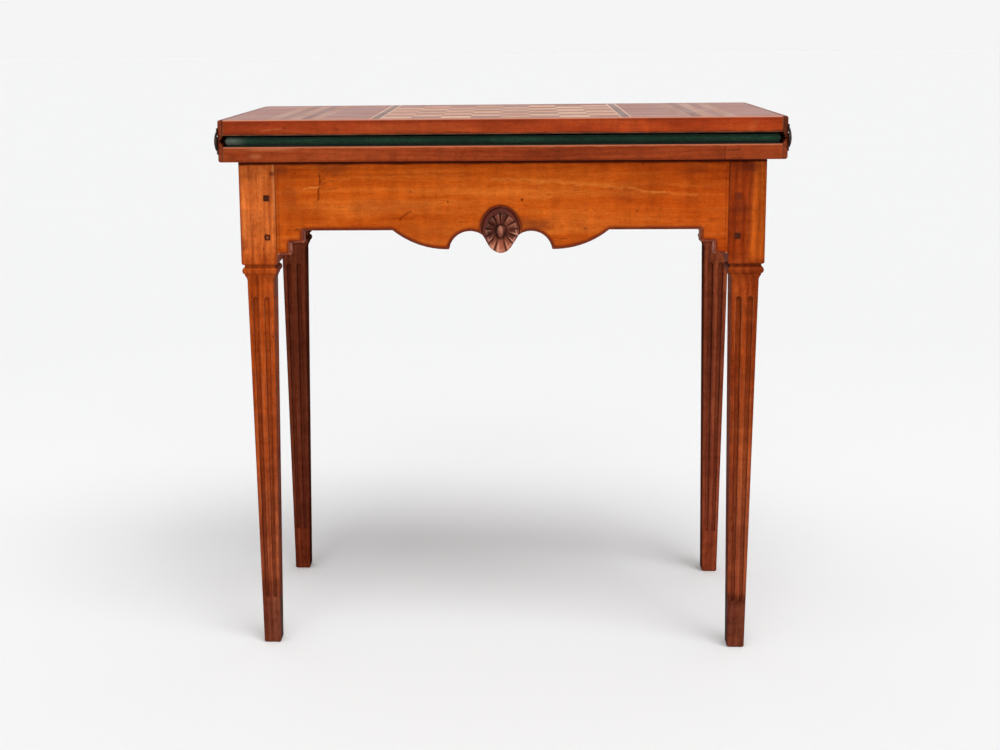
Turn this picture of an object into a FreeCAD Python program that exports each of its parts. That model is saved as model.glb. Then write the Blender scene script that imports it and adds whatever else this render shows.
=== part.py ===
import FreeCAD, Part
import Sketcher
import math
import os
from FreeCAD import Vector, Rotation, Placement

# Fold-over game table with an inlaid chessboard.
# +X to the right, +Y away from the fold side, +Z up; origin on the floor under
# the middle of the table's bounding box.  All lengths in millimetres.

doc = FreeCAD.newDocument("FoldOverGameTable")
sheet = doc.addObject("Spreadsheet::Sheet", "Dim")

DIMS = [
    # top
    ("top_w", 775.0, "width of the closed top"),
    ("top_d", 395.0, "depth of the closed top, about half its width"),
    ("leaf_t", 21.0, "thickness of each leaf"),
    ("half_gap", 8.0, "rim height above each inner face"),
    ("rim_w", 7.5, "width of the rim strips"),
    ("rim_tip", 2.0, "width of the rim at its tip"),
    ("rear_tip", 6.8, "width of the rear rim at its tip"),
    ("rim_play", 0.15, "play of each rim tip at the meeting plane"),
    ("end_play", 0.2, "upper leaf is this much shorter at each end"),
    ("axis_out", 0.2, "hinge axis in front of the fold edge"),
    ("corner_rear", 13.0, "rounding of the rear corners"),
    ("corner_front", 4.0, "rounding of the front corners"),
    ("arris", 3.0, "rounding of the outer arrises"),
    ("shift_y", 3.6, "offset that centres the bounding box"),
    ("leaf_gap", 1.0, "air between frame and lower leaf"),
    # inlay
    ("square", 40.75, "side of one square of the board"),
    ("inlay_t", 2.0, "thickness of the inlay"),
    ("string_w", 2.0, "width of the light strings"),
    ("band_w", 11.0, "width of the dark bands"),
    ("board_front", 16.0, "board to fold edge"),
    ("inlay_edge", 6.0, "strips to front and rear edges of the board"),
    ("stripe_in", 67.5, "side field to the end of the leaf"),
    ("stripe_l", 16.0, "width of a light stripe"),
    ("stripe_d", 14.0, "width of a dark stripe"),
    # baize
    ("baize_t", 2.0, "thickness of the baize"),
    ("roll_d", 15.5, "depth of the baize roll"),
    ("roll_r", 5.5, "rounding of the baize roll"),
    # frame
    ("frame_w", 725.0, "frame over the legs"),
    ("frame_d", 363.0, "frame over the legs, front to back"),
    ("frame_top", 708.0, "height of the frame"),
    ("block", 50.0, "side of the leg block"),
    ("leg_foot", 24.0, "side of the leg at the floor"),
    ("leg_neck", 37.4, "side of the leg under the ring"),
    ("z_neck", 538.0, "top of the tapered shaft"),
    ("z_cove", 548.5, "top of the cove"),
    ("z_ring", 550.5, "underside of the ring"),
    ("z_ring_top", 560.5, "top of the ring"),
    ("ring_hw", 22.0, "half width at the ring's edges"),
    ("ring_r", 6.25, "radius of the ring's profile"),
    ("cove_r", 15.0, "radius of the cove"),
    ("z_block", 564.0, "underside of the leg block"),
    ("flute_top", 518.0, "upper end of the flutes"),
    ("flute_bot", 70.0, "lower end of the flutes"),
    ("flute_off", 8.0, "flute centre to leg centre at the top"),
    ("flute_r", 4.1, "flute radius at the top"),
    ("setback", 0.8, "apron face behind the leg face"),
    ("apron_t", 22.0, "apron thickness"),
    ("apron_bot", 612.0, "straight lower edge of the aprons"),
    ("tread_1", 595.0, "first step at the leg"),
    ("tread_2", 578.0, "second step at the leg"),
    ("step", 19.0, "width of one step"),
    ("lobe_start", 150.0, "lobe starts this far from the middle"),
    ("lobe_end", 71.5, "lobe ends this far from the middle"),
    ("lobe_bot", 585.0, "lowest line of the lobe"),
    ("lobe_r", 121.0, "radius of the lobe"),
    ("scoop_top", 610.5, "crown of the scoop"),
    ("scoop_x", 42.0, "crown of the scoop from the middle"),
    ("scoop_r", 29.6, "radius of the scoop"),
    ("tongue_x", 24.5, "half width of the tongue behind the rosette"),
    ("tongue_z", 604.5, "top of the tongue"),
    ("tongue_r", 28.0, "radius of the tongue"),
    ("bevel", 2.6, "bevel on the lower edge of the front apron"),
    ("tenon_t", 8.0, "tenon thickness"),
    ("tenon_l", 30.0, "tenon length"),
    ("tenon_bot", 590.0, "lower edge of the tenons"),
    ("tenon_top", 696.0, "upper edge of the tenons"),
    ("peg", 8.0, "side of the tenon pegs"),
    ("peg_in", 12.5, "peg to the inner edge of the leg block"),
    ("peg_hi", 658.0, "height of the upper front pegs"),
    ("peg_lo", 603.0, "height of the lower front pegs"),
    ("peg_side", 14.0, "side pegs stand this much higher"),
    ("peg_len", 30.0, "peg length"),
    ("peg_proud", 0.3, "peg heads stand out"),
    # rosette
    ("ros_w", 27.0, "rosette half width"),
    ("ros_h", 32.0, "rosette half height"),
    ("ros_z", 612.0, "rosette centre"),
    ("ros_in", 2.0, "depth of the rosette's recess"),
    ("ros_out", 6.0, "rosette stands out of the apron"),
    ("bead_w", 5.0, "half width of the bead"),
    ("bead_h", 9.0, "half height of the bead"),
    ("bead_out", 2.0, "bead stands out of the rosette"),
    # hidden work
    ("rail_t", 25.0, "thickness of the cross rails"),
    ("rail_w", 94.0, "width of the pivot rail"),
    ("rail_house", 10.0, "depth of the rail housings"),
    ("bearer_x", 150.0, "bearer rail, left side"),
    ("bearer_w", 60.0, "width of the bearer rail"),
    ("floor_z", 628.0, "underside of the well's bottom board"),
    ("floor_t", 8.0, "thickness of the bottom board"),
    ("cleat", 14.0, "side of the cleats"),
    ("cleat_hl", 300.0, "half length of the cleats"),
    # pivot
    ("piv_r", 7.0, "radius of the pivot pin"),
    ("piv_play", 0.05, "radial play of the pivot pin"),
    ("flange_r", 30.0, "radius of the pivot flange"),
    ("flange_t", 3.0, "thickness of the pivot flange"),
    ("piv_end", 665.0, "lower end of the pivot pin"),
    ("washer_r", 18.0, "radius of the lower washer"),
    ("washer_t", 3.0, "thickness of the lower washer"),
    ("bear_r", 28.0, "radius of the bearing washer"),
    ("bear_play", 0.05, "play above the bearing washer"),
    ("nut_w", 26.0, "side of the square nut"),
    ("nut_h", 10.0, "height of the square nut"),
    ("nut_play", 0.3, "play above the nut"),
    ("pscrew_at", 20.0, "pivot screws from the pin"),
    ("pscrew_r", 2.2, "pivot screw radius"),
    ("pscrew_l", 15.0, "pivot screw length"),
    ("stop_r", 6.0, "radius of the stop peg"),
    ("stop_play", 0.3, "play of the stop peg at the rail"),
    ("stop_y", 106.9, "stop peg behind the pivot"),
    ("stop_down", 16.0, "stop peg below the leaf"),
    ("stop_up", 12.0, "stop peg in the leaf"),
    # hinges
    ("eye_r", 7.0, "radius of the hinge eyes"),
    ("plate_t", 1.0, "thickness of the hinge plates"),
    ("plate_l", 30.0, "length of the hinge plates"),
    ("plate_h", 18.0, "reach of the plates above and below the axis"),
    ("plate_gap", 0.2, "play between the hinge plates"),
    ("eye_clear", 7.6, "upper strap starts above the axis"),
    ("boss_l", 13.0, "half length of the domed boss over the hinge eye"),
    ("boss_w", 6.4, "half width of the boss"),
    ("boss_h", 1.8, "height of the boss"),
    ("boss_tip", 0.5, "thickness of the boss at its points"),
    ("hpin_r", 2.5, "radius of the hinge pins"),
    ("hpin_play", 0.05, "radial play of the hinge pins"),
    ("hhead_r", 3.6, "radius of the pin heads"),
    ("hhead_t", 0.5, "thickness of the pin heads"),
    ("hscrew_r", 1.6, "radius of the hinge screws"),
    ("hscrew_in", 377.5, "tips of the hinge screws"),
    ("hshead_r", 3.0, "radius of the screw heads"),
    ("hshead_t", 1.2, "thickness of the screw heads"),
    ("hs_y1", 14.0, "first screw behind the axis"),
    ("hs_y2", 24.0, "second screw behind the axis"),
    ("hs_z", 13.0, "screws above and below the axis"),
]
VAL = {}
for i, (alias, value, note) in enumerate(DIMS, start=1):
    sheet.set("A%d" % i, alias)
    sheet.set("B%d" % i, "%g" % value)
    sheet.setAlias("B%d" % i, alias)
    sheet.set("C%d" % i, note)
    VAL[alias] = value
doc.recompute()


class Q:
    """A length that knows its number and its text in terms of the sheet."""

    def __init__(self, v, e):
        self.v = float(v)
        self.e = e

    @staticmethod
    def of(a):
        return a if isinstance(a, Q) else Q(a, "(%.6f)" % a)

    def __add__(self, o):
        o = Q.of(o)
        return Q(self.v + o.v, "(%s + %s)" % (self.e, o.e))

    __radd__ = __add__

    def __sub__(self, o):
        o = Q.of(o)
        return Q(self.v - o.v, "(%s - %s)" % (self.e, o.e))

    def __rsub__(self, o):
        return Q.of(o) - self

    def __mul__(self, o):
        o = Q.of(o)
        return Q(self.v * o.v, "(%s * %s)" % (self.e, o.e))

    __rmul__ = __mul__

    def __truediv__(self, o):
        o = Q.of(o)
        return Q(self.v / o.v, "(%s / %s)" % (self.e, o.e))

    def __neg__(self):
        return Q(-self.v, "(0 - %s)" % self.e)


def d(alias):
    return Q(sheet.get(alias), "Dim." + alias)


def bind(obj, prop, a):
    a = Q.of(a)
    obj.setExpression(prop, a.e)


def at(obj, x, y, z, rot=None):
    x, y, z = Q.of(x), Q.of(y), Q.of(z)
    obj.Placement = Placement(Vector(x.v, y.v, z.v), rot or Rotation())
    bind(obj, "Placement.Base.x", x)
    bind(obj, "Placement.Base.y", y)
    bind(obj, "Placement.Base.z", z)
    return obj


def box(name, x0, x1, y0, y1, z0, z1):
    o = doc.addObject("Part::Box", name)
    for prop, lo, hi in (("Length", x0, x1), ("Width", y0, y1), ("Height", z0, z1)):
        s = Q.of(hi) - Q.of(lo)
        setattr(o, prop, s.v)
        bind(o, prop, s)
    return at(o, x0, y0, z0)


ALONG = {
    "+Z": Rotation(),
    "-Z": Rotation(Vector(1, 0, 0), 180),
    "+X": Rotation(Vector(0, 1, 0), 90),
    "-X": Rotation(Vector(0, 1, 0), -90),
    "+Y": Rotation(Vector(1, 0, 0), -90),
}


def cyl(name, r, length, x, y, z, along="+Z"):
    o = doc.addObject("Part::Cylinder", name)
    r, length = Q.of(r), Q.of(length)
    o.Radius = r.v
    o.Height = length.v
    bind(o, "Radius", r)
    bind(o, "Height", length)
    return at(o, x, y, z, ALONG[along])


def cone(name, r1, r2, length, x, y, z, along="+Z"):
    o = doc.addObject("Part::Cone", name)
    for prop, a in (("Radius1", r1), ("Radius2", r2), ("Height", length)):
        a = Q.of(a)
        setattr(o, prop, a.v)
        bind(o, prop, a)
    return at(o, x, y, z, ALONG[along])


def cut(name, base, tool):
    o = doc.addObject("Part::Cut", name)
    o.Base = base
    o.Tool = tool
    return o


def common(name, base, tool):
    o = doc.addObject("Part::Common", name)
    o.Base = base
    o.Tool = tool
    return o


def fuse(name, parts):
    o = doc.addObject("Part::MultiFuse", name)
    o.Shapes = parts
    return o


def group(name, parts):
    o = doc.addObject("Part::Compound", name)
    o.Links = parts
    return o


def mirror(name, src, normal, base=(0, 0, 0)):
    o = doc.addObject("Part::Mirroring", name)
    o.Source = src
    o.Base = Vector(*base)
    o.Normal = Vector(*normal)
    return o


def profile(sk, pts, arcs):
    """Closed outline through pts; arcs maps a segment to (radius, side), where
    side +1 bulges to the right of the direction of travel."""
    n = len(pts)
    pts = [(Q.of(a), Q.of(b)) for a, b in pts]
    ends = []
    for i in range(n):
        a = Vector(pts[i][0].v, pts[i][1].v, 0)
        b = Vector(pts[(i + 1) % n][0].v, pts[(i + 1) % n][1].v, 0)
        if i in arcs:
            r, side = arcs[i]
            r = Q.of(r)
            chord = b - a
            half = chord.Length / 2
            sag = r.v - math.sqrt(max(r.v * r.v - half * half, 0.0))
            right = Vector(chord.y, -chord.x, 0).normalize()
            g = sk.addGeometry(Part.Arc(a, (a + b) * 0.5 + right * (sag * side), b))
        else:
            g = sk.addGeometry(Part.LineSegment(a, b))
        first = (sk.getPoint(g, 1) - a).Length < (sk.getPoint(g, 2) - a).Length
        ends.append((g, 1, 2) if first else (g, 2, 1))
    for i in range(n):
        g, s, e = ends[i]
        g2, s2, e2 = ends[(i + 1) % n]
        sk.addConstraint(Sketcher.Constraint("Coincident", g, e, g2, s2))
        for kind, a in (("DistanceX", pts[i][0]), ("DistanceY", pts[i][1])):
            c = sk.addConstraint(Sketcher.Constraint(kind, -1, 1, g, s, a.v))
            sk.setExpression("Constraints[%d]" % c, a.e)
        if i in arcs:
            r = Q.of(arcs[i][0])
            c = sk.addConstraint(Sketcher.Constraint("Radius", g, r.v))
            sk.setExpression("Constraints[%d]" % c, r.e)


def plane(body, role):
    return [o for o in body.Origin.OriginFeatures if o.Role == role][0]


def pad_body(name, role, pts, arcs, length, x=0, y=0, z=0):
    """A body padded both ways from a sketch on one of its origin planes."""
    b = doc.addObject("PartDesign::Body", name)
    sk = b.newObject("Sketcher::SketchObject", name + "_sketch")
    sk.AttachmentSupport = [(plane(b, role), "")]
    sk.MapMode = "FlatFace"
    profile(sk, pts, arcs)
    doc.recompute()
    p = b.newObject("PartDesign::Pad", name + "_pad")
    p.Profile = sk
    p.SideType = "Symmetric"
    length = Q.of(length)
    p.Length = length.v
    bind(p, "Length", length)
    at(b, x, y, z)
    doc.recompute()
    return b


def turned_body(name, pts, x, y, z):
    """A body turned about its vertical axis; pts are (radius, height)."""
    b = doc.addObject("PartDesign::Body", name)
    sk = b.newObject("Sketcher::SketchObject", name + "_sketch")
    sk.AttachmentSupport = [(plane(b, "XZ_Plane"), "")]
    sk.MapMode = "FlatFace"
    profile(sk, pts, {})
    doc.recompute()
    r = b.newObject("PartDesign::Revolution", name + "_turned")
    r.Profile = sk
    r.ReferenceAxis = (sk, ["V_Axis"])
    r.Angle = 360.0
    at(b, x, y, z)
    doc.recompute()
    return b


NODES = []


def node(obj, label):
    obj.Label = label
    NODES.append(obj)
    return obj


# ---------------------------------------------------------------- levels
Y0 = d("shift_y")
HW = d("top_w") / 2
YF = Y0 - d("top_d") / 2
YR = Y0 + d("top_d") / 2
ZF = d("frame_top")
Z0 = ZF + d("leaf_gap")
Z1 = Z0 + d("leaf_t")
ZH = Z1 + d("half_gap")
Z2 = ZH + d("half_gap")
Z3 = Z2 + d("leaf_t")
YH = YF - d("axis_out")
FX = d("frame_w") / 2
YFF = Y0 - d("frame_d") / 2
YFR = Y0 + d("frame_d") / 2
LEG = d("block") / 2
LX = FX - LEG
LY = YFF + LEG
INX = FX - d("block")
PX = Q.of(0) - d("top_d") / 4
PY = Y0 - d("top_d") / 4
APF = YFF + d("setback")
APB = APF + d("apron_t")
ARB = YFR - d("setback")
ARF = ARB - d("apron_t")
ASX = FX - d("setback")
AIX = ASX - d("apron_t")

# ---------------------------------------------------------------- legs
# Square section leg: the same silhouette seen from the front and from the side.
foot = d("leg_foot") / 2
neck = d("leg_neck") / 2
ring = d("ring_hw")
right = [
    (foot - 2.2, Q.of(0)),
    (foot, Q.of(2.4)),
    (neck, d("z_neck")),
    (ring - 0.5, d("z_cove")),
    (ring - 0.5, d("z_ring")),
    (ring, d("z_ring")),
    (ring, d("z_ring_top")),
    (ring - 0.6, d("z_ring_top")),
    (ring - 0.6, d("z_block")),
    (LEG - 1.6, d("z_block")),
    (LEG, d("z_block") + 2.0),
    (LEG, ZF),
]
left = [(Q.of(0) - a, b) for a, b in reversed(right)]
outline = right + left
n_r = len(right)
leg_arcs = {
    2: (d("cove_r"), -1),
    5: (d("ring_r"), +1),
    n_r + (n_r - 1 - 6): (d("ring_r"), +1),
    n_r + (n_r - 1 - 3): (d("cove_r"), -1),
}
leg_x = pad_body("leg_front_view", "XZ_Plane", outline, leg_arcs, d("block") + 10, Q.of(0) - LX, LY, 0)
leg_y = pad_body("leg_side_view", "YZ_Plane", outline, leg_arcs, d("block") + 10, Q.of(0) - LX, LY, 0)
leg_blank = common("leg_blank", leg_x, leg_y)


def half_width(z):
    f, n, zn = sheet.get("leg_foot") / 2, sheet.get("leg_neck") / 2, sheet.get("z_neck")
    return f + (n - f) * z / zn


# Two flutes in each face, narrowing with the taper and rounded at both ends.
# Their axes lean with the faces, so they are set out here from the sheet.
flutes = []
zt, zb = sheet.get("flute_top"), sheet.get("flute_bot")
wt, wb = half_width(zt), half_width(zb)
ot = sheet.get("flute_off")
ob = ot * wb / wt
rt = sheet.get("flute_r")
rb = rt * wb / wt
for face in range(4):
    for side in (-1, 1):
        top = Vector(side * ot, -(wt + 0.9), zt - rt)
        bot = Vector(side * ob, -(wb + 0.9), zb + rb)
        axis = top - bot
        solid = Part.makeCone(rb, rt, axis.Length, bot, axis)
        solid = solid.fuse([Part.makeSphere(rb, bot), Part.makeSphere(rt, top)])
        solid.rotate(Vector(0, 0, 0), Vector(0, 0, 1), 90 * face)
        flutes.append(solid)
flute_tool = doc.addObject("Part::Feature", "flute_tool")
flute_tool.Shape = Part.makeCompound(flutes)
flute_tool.Placement = Placement(Vector(-LX.v, LY.v, 0), Rotation())
leg_fluted = cut("leg_fluted", leg_blank, flute_tool)

TT, TL = d("tenon_t"), d("tenon_l")
TY0 = APF + (d("apron_t") - TT) / 2
TX0 = ASX - (d("apron_t") - TT) / 2
TB, TU = d("tenon_bot"), d("tenon_top")
HP = d("peg") / 2
PGX = INX + d("peg_in")
PGY = YFF + d("block") - d("peg_in")


def neg(a):
    return Q.of(0) - a


def peg_front(name, z):
    return box(name, neg(PGX + HP), neg(PGX - HP), YFF - d("peg_proud"), YFF + d("peg_len"), z - HP, z + HP)


def peg_left(name, z):
    z = z + d("peg_side")
    return box(name, neg(FX + d("peg_proud")), neg(FX - d("peg_len")), PGY - HP, PGY + HP, z - HP, z + HP)


leg_tool = group(
    "leg_mortises",
    [
        fuse("mortise_front_pegged", [
            box("mortise_front", neg(INX + TL), neg(INX), TY0, TY0 + TT, TB, TU),
            peg_front("peg_hole_f1", d("peg_hi")),
            peg_front("peg_hole_f2", d("peg_lo")),
        ]),
        fuse("mortise_side_pegged", [
            box("mortise_side", neg(TX0), neg(TX0 - TT), YFF + d("block") - TL, YFF + d("block"), TB, TU),
            peg_left("peg_hole_s1", d("peg_hi")),
            peg_left("peg_hole_s2", d("peg_lo")),
        ]),
    ],
)
leg_fl = node(cut("leg_fl", leg_fluted, leg_tool), "leg_front_left")
leg_fr = node(mirror("leg_fr", leg_fl, (1, 0, 0)), "leg_front_right")
MID = (0, Y0.v, 0)
leg_rl = node(mirror("leg_rl", leg_fl, (0, 1, 0), MID), "leg_rear_left")
leg_rr = node(mirror("leg_rr", leg_fr, (0, 1, 0), MID), "leg_rear_right")

# Pegs, driven through the leg faces and the tenons.
pegs_fl = group("pegs_fl", [peg_front("peg_f1", d("peg_hi")), peg_front("peg_f2", d("peg_lo"))])
pegs_fr = mirror("pegs_fr", pegs_fl, (1, 0, 0))
pegs_front = node(group("pegs_front", [pegs_fl, pegs_fr]), "tenon_pegs_front")
pegs_rear = node(mirror("pegs_rear", pegs_front, (0, 1, 0), MID), "tenon_pegs_rear")
pegs_sl = group("pegs_sl", [peg_left("peg_s1", d("peg_hi")), peg_left("peg_s2", d("peg_lo"))])
pegs_sr = mirror("pegs_sr", pegs_sl, (0, 1, 0), MID)
pegs_left = node(group("pegs_left", [pegs_sl, pegs_sr]), "tenon_pegs_left")
pegs_right = node(mirror("pegs_right", pegs_left, (1, 0, 0)), "tenon_pegs_right")

# ---------------------------------------------------------------- aprons
ST = d("step")
half = [
    (INX, d("tread_2")),
    (INX - ST, d("tread_2")),
    (INX - ST, d("tread_1")),
    (INX - 2 * ST, d("tread_1")),
    (INX - 2 * ST, d("apron_bot")),
]
plain_l = [(neg(a), b) for a, b in half]
plain = plain_l + list(reversed(half)) + [(INX, ZF), (neg(INX), ZF)]
shaped_half = half + [
    (d("lobe_start"), d("apron_bot")),
    (d("lobe_end"), d("lobe_bot")),
    (d("scoop_x"), d("scoop_top")),
    (d("tongue_x"), d("tongue_z")),
]
k = len(shaped_half)
shaped = [(neg(a), b) for a, b in shaped_half] + list(reversed(shaped_half)) + [(INX, ZF), (neg(INX), ZF)]
shaped_arcs = {
    5: (d("lobe_r"), +1),
    6: (d("scoop_r"), -1),
    7: (d("scoop_r"), -1),
    8: (d("tongue_r"), +1),
    9: (d("scoop_r"), -1),
    10: (d("scoop_r"), -1),
    11: (d("lobe_r"), +1),
}
front_body = pad_body("front_board", "XZ_Plane", shaped, shaped_arcs, d("apron_t"), 0, (APF + APB) / 2, 0)
# The lower edge of the front board is bevelled towards the face.
edges = []
front_pad = front_body.Tip
tip_shape = front_pad.Shape
front_y = tip_shape.BoundBox.YMin
for i, e in enumerate(tip_shape.Edges, start=1):
    bb = e.BoundBox
    on_face = abs(bb.YMin - front_y) < 1e-4 and abs(bb.YMax - front_y) < 1e-4
    low = bb.ZMax < ZF.v - 1
    end = abs(abs(bb.XMin) - INX.v) < 1e-4 and abs(abs(bb.XMax) - INX.v) < 1e-4 and bb.ZMax > 600
    tongue = max(abs(bb.XMin), abs(bb.XMax)) < sheet.get("tongue_x") + 0.5
    if on_face and low and not end and not tongue:
        edges.append("Edge%d" % i)
bevel = front_body.newObject("PartDesign::Chamfer", "front_bevel")
bevel.Base = (front_pad, edges)
bevel.Size = sheet.get("bevel")
bind(bevel, "Size", d("bevel"))
doc.recompute()
front_body.Tip = bevel


def cross(name, x0, x1):
    """Housings for one cross rail in the front and rear aprons."""
    return (
        box(name + "_f", x0, x1, APB - d("rail_house"), APB, ZF - d("rail_t"), ZF),
        box(name + "_r", x0, x1, ARF, ARF + d("rail_house"), ZF - d("rail_t"), ZF),
    )


RX0, RX1 = PX - d("rail_w") / 2, PX + d("rail_w") / 2
BX0, BX1 = d("bearer_x"), d("bearer_x") + d("bearer_w")
h1f, h1r = cross("housing_pivot", RX0, RX1)
h2f, h2r = cross("housing_bearer", BX0, BX1)


def oval(name, rw, rh, y0, y1, zc):
    """Upright oval prism with its flat faces towards the front and the back."""
    o = doc.addObject("Part::Ellipse", name + "_line")
    rw, rh = Q.of(rw), Q.of(rh)
    o.MajorRadius = rh.v
    o.MinorRadius = rw.v
    bind(o, "MajorRadius", rh)
    bind(o, "MinorRadius", rw)
    # major axis upright, plane facing the front
    rot = Rotation(Vector(0, 0, 1), Vector(-1, 0, 0), Vector(0, -1, 0), "ZXY")
    at(o, 0, y0, zc, rot)
    e = doc.addObject("Part::Extrusion", name)
    e.Base = o
    e.DirMode = "Custom"
    e.Dir = Vector(0, 1, 0)
    length = Q.of(y1) - Q.of(y0)
    e.LengthFwd = length.v
    bind(e, "LengthFwd", length)
    e.Solid = True
    return e


ros_recess = oval("rosette_recess", d("ros_w"), d("ros_h"), APF - 12, APF + d("ros_in"), d("ros_z"))


def tenons_x(name, y0):
    return [
        box(name + "_l", neg(INX + TL), neg(INX), y0, y0 + TT, TB, TU),
        box(name + "_r", INX, INX + TL, y0, y0 + TT, TB, TU),
    ]


front_solid = fuse("front_tenoned", [front_body] + tenons_x("front_tenon", TY0))
front_tool = group("front_cuts", [h1f, h2f, ros_recess, pegs_front])
apron_front = node(cut("front_cut", front_solid, front_tool), "apron_front")

rear_body = pad_body("rear_board", "XZ_Plane", plain, {}, d("apron_t"), 0, (ARF + ARB) / 2, 0)
rear_solid = fuse("rear_tenoned", [rear_body] + tenons_x("rear_tenon", ARF + (d("apron_t") - TT) / 2))
apron_rear = node(cut("rear_cut", rear_solid, group("rear_cuts", [h1r, h2r, pegs_rear])), "apron_rear")

IND = d("frame_d") / 2 - d("block")
side_half = [
    (IND, d("tread_2")),
    (IND - ST, d("tread_2")),
    (IND - ST, d("tread_1")),
    (IND - 2 * ST, d("tread_1")),
    (IND - 2 * ST, d("apron_bot")),
]
side_pts = [(neg(a), b) for a, b in side_half] + list(reversed(side_half)) + [(IND, ZF), (neg(IND), ZF)]
side_body = pad_body("side_board", "YZ_Plane", side_pts, {}, d("apron_t"), neg(ASX - d("apron_t") / 2), Y0, 0)
side_solid = fuse("side_tenoned", [
    side_body,
    box("side_tenon_f", neg(TX0), neg(TX0 - TT), Y0 - IND - TL, Y0 - IND, TB, TU),
    box("side_tenon_r", neg(TX0), neg(TX0 - TT), Y0 + IND, Y0 + IND + TL, TB, TU),
])
apron_left = node(cut("side_cut", side_solid, pegs_left), "apron_left")
apron_right = node(mirror("side_right", apron_left, (1, 0, 0)), "apron_right")

# Oval rosette: a domed disc with a raised bead, let into the front apron.
ros_disc = oval("rosette_disc", d("ros_w"), d("ros_h"), APF - d("ros_out"), APF + d("ros_in"), d("ros_z"))
doc.recompute()
rim_edges = []
for i, e in enumerate(ros_disc.Shape.Edges, start=1):
    bb = e.BoundBox
    if abs(bb.YMax - (APF - d("ros_out")).v) < 1e-3 and abs(bb.YMin - bb.YMax) < 1e-3:
        rim_edges.append((i, 3.5, 3.5))
ros_dome = doc.addObject("Part::Fillet", "rosette_dome")
ros_dome.Base = ros_disc
ros_dome.Edges = rim_edges
ros_bead = oval("rosette_bead", d("bead_w"), d("bead_h"), APF - d("ros_out") - d("bead_out"), APF - 1, d("ros_z"))
rosette = node(fuse("rosette", [ros_dome, ros_bead]), "carved_rosette")

# ---------------------------------------------------------------- hidden work
rail_plain = box("pivot_board", RX0, RX1, APB - d("rail_house"), ARF + d("rail_house"), ZF - d("rail_t"), ZF)
rail_hole = cyl("pivot_hole", d("piv_r") + d("piv_play"), d("rail_t") + 2, PX, PY, ZF - d("rail_t") - 1)
pivot_rail = node(cut("pivot_rail_cut", rail_plain, rail_hole), "pivot_rail")
bearer_rail = node(box("bearer_board", BX0, BX1, APB - d("rail_house"), ARF + d("rail_house"), ZF - d("rail_t"), ZF), "bearer_rail")

FZ0, FZ1 = d("floor_z"), d("floor_z") + d("floor_t")
floor_plain = box("floor_plain", neg(AIX - 0.5), AIX - 0.5, APB + 0.5, ARF - 0.5, FZ0, FZ1)
NY = YFF + d("block") + 0.5
NR = YFR - d("block") - 0.5
NX = INX - 0.5
floor_tool = group("floor_notches", [
    box("notch_fl", neg(FX), neg(NX), YFF, NY, FZ0 - 1, FZ1 + 1),
    box("notch_fr", NX, FX, YFF, NY, FZ0 - 1, FZ1 + 1),
    box("notch_rl", neg(FX), neg(NX), NR, YFR, FZ0 - 1, FZ1 + 1),
    box("notch_rr", NX, FX, NR, YFR, FZ0 - 1, FZ1 + 1),
])
well_floor = node(cut("floor_cut", floor_plain, floor_tool), "well_bottom_board")
CL = d("cleat")
cleats = node(group("cleats", [
    box("cleat_f", neg(d("cleat_hl")), d("cleat_hl"), APB, APB + CL, FZ0 - CL, FZ0),
    box("cleat_r", neg(d("cleat_hl")), d("cleat_hl"), ARF - CL, ARF, FZ0 - CL, FZ0),
]), "well_cleats")

bear_ring = cut(
    "bear_ring",
    cyl("bear_disc", d("bear_r"), d("leaf_gap") - d("bear_play"), PX, PY, ZF),
    cyl("bear_hole", d("piv_r") + 0.2, d("leaf_gap") + 2, PX, PY, ZF - 1),
)
node(bear_ring, "bearing_washer")
low_ring = cut(
    "low_ring",
    cyl("low_disc", d("washer_r"), d("washer_t"), PX, PY, ZF - d("rail_t") - d("washer_t")),
    cyl("low_hole", d("piv_r") + 0.2, d("washer_t") + 2, PX, PY, ZF - d("rail_t") - d("washer_t") - 1),
)
node(low_ring, "pivot_washer")

# ---------------------------------------------------------------- pivot pin
piv = turned_body(
    "pivot_turned",
    [
        (Q.of(0), d("piv_end")),
        (d("piv_r") - 1.0, d("piv_end")),
        (d("piv_r"), d("piv_end") + 1.0),
        (d("piv_r"), Z0),
        (d("flange_r"), Z0),
        (d("flange_r"), Z0 + d("flange_t")),
        (Q.of(0), Z0 + d("flange_t")),
    ],
    PX, PY, 0,
)


def pivot_screw(i):
    a = math.radians(45 + 90 * i)
    x = PX + d("pscrew_at") * math.cos(a)
    y = PY + d("pscrew_at") * math.sin(a)
    return fuse("pivot_screw_%d" % i, [
        cone("pscrew_head_%d" % i, d("pscrew_r") * 2, d("pscrew_r"), d("pscrew_r"), x, y, Z0),
        cyl("pscrew_shank_%d" % i, d("pscrew_r"), d("pscrew_l"), x, y, Z0),
    ])


pivot_screws = node(group("pivot_screws_g", [pivot_screw(i) for i in range(4)]), "pivot_screws")
pivot_pin = node(cut("pivot_pin_cut", piv, pivot_screws), "pivot_pin")
NZ = ZF - d("rail_t") - d("washer_t") - d("nut_play") - d("nut_h")
nut_plain = box("nut_plain", PX - d("nut_w") / 2, PX + d("nut_w") / 2, PY - d("nut_w") / 2, PY + d("nut_w") / 2, NZ, NZ + d("nut_h"))
pivot_nut = node(cut("nut_cut", nut_plain, cyl("nut_hole", d("piv_r"), d("nut_h") + 2, PX, PY, NZ - 1)), "pivot_nut")
SX = PX - d("rail_w") / 2 - d("stop_play") - d("stop_r")
SY = PY + d("stop_y")
stop_peg = node(cyl("stop_dowel", d("stop_r"), d("stop_down") + d("stop_up"), SX, SY, Z0 - d("stop_down")), "stop_peg")


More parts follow.
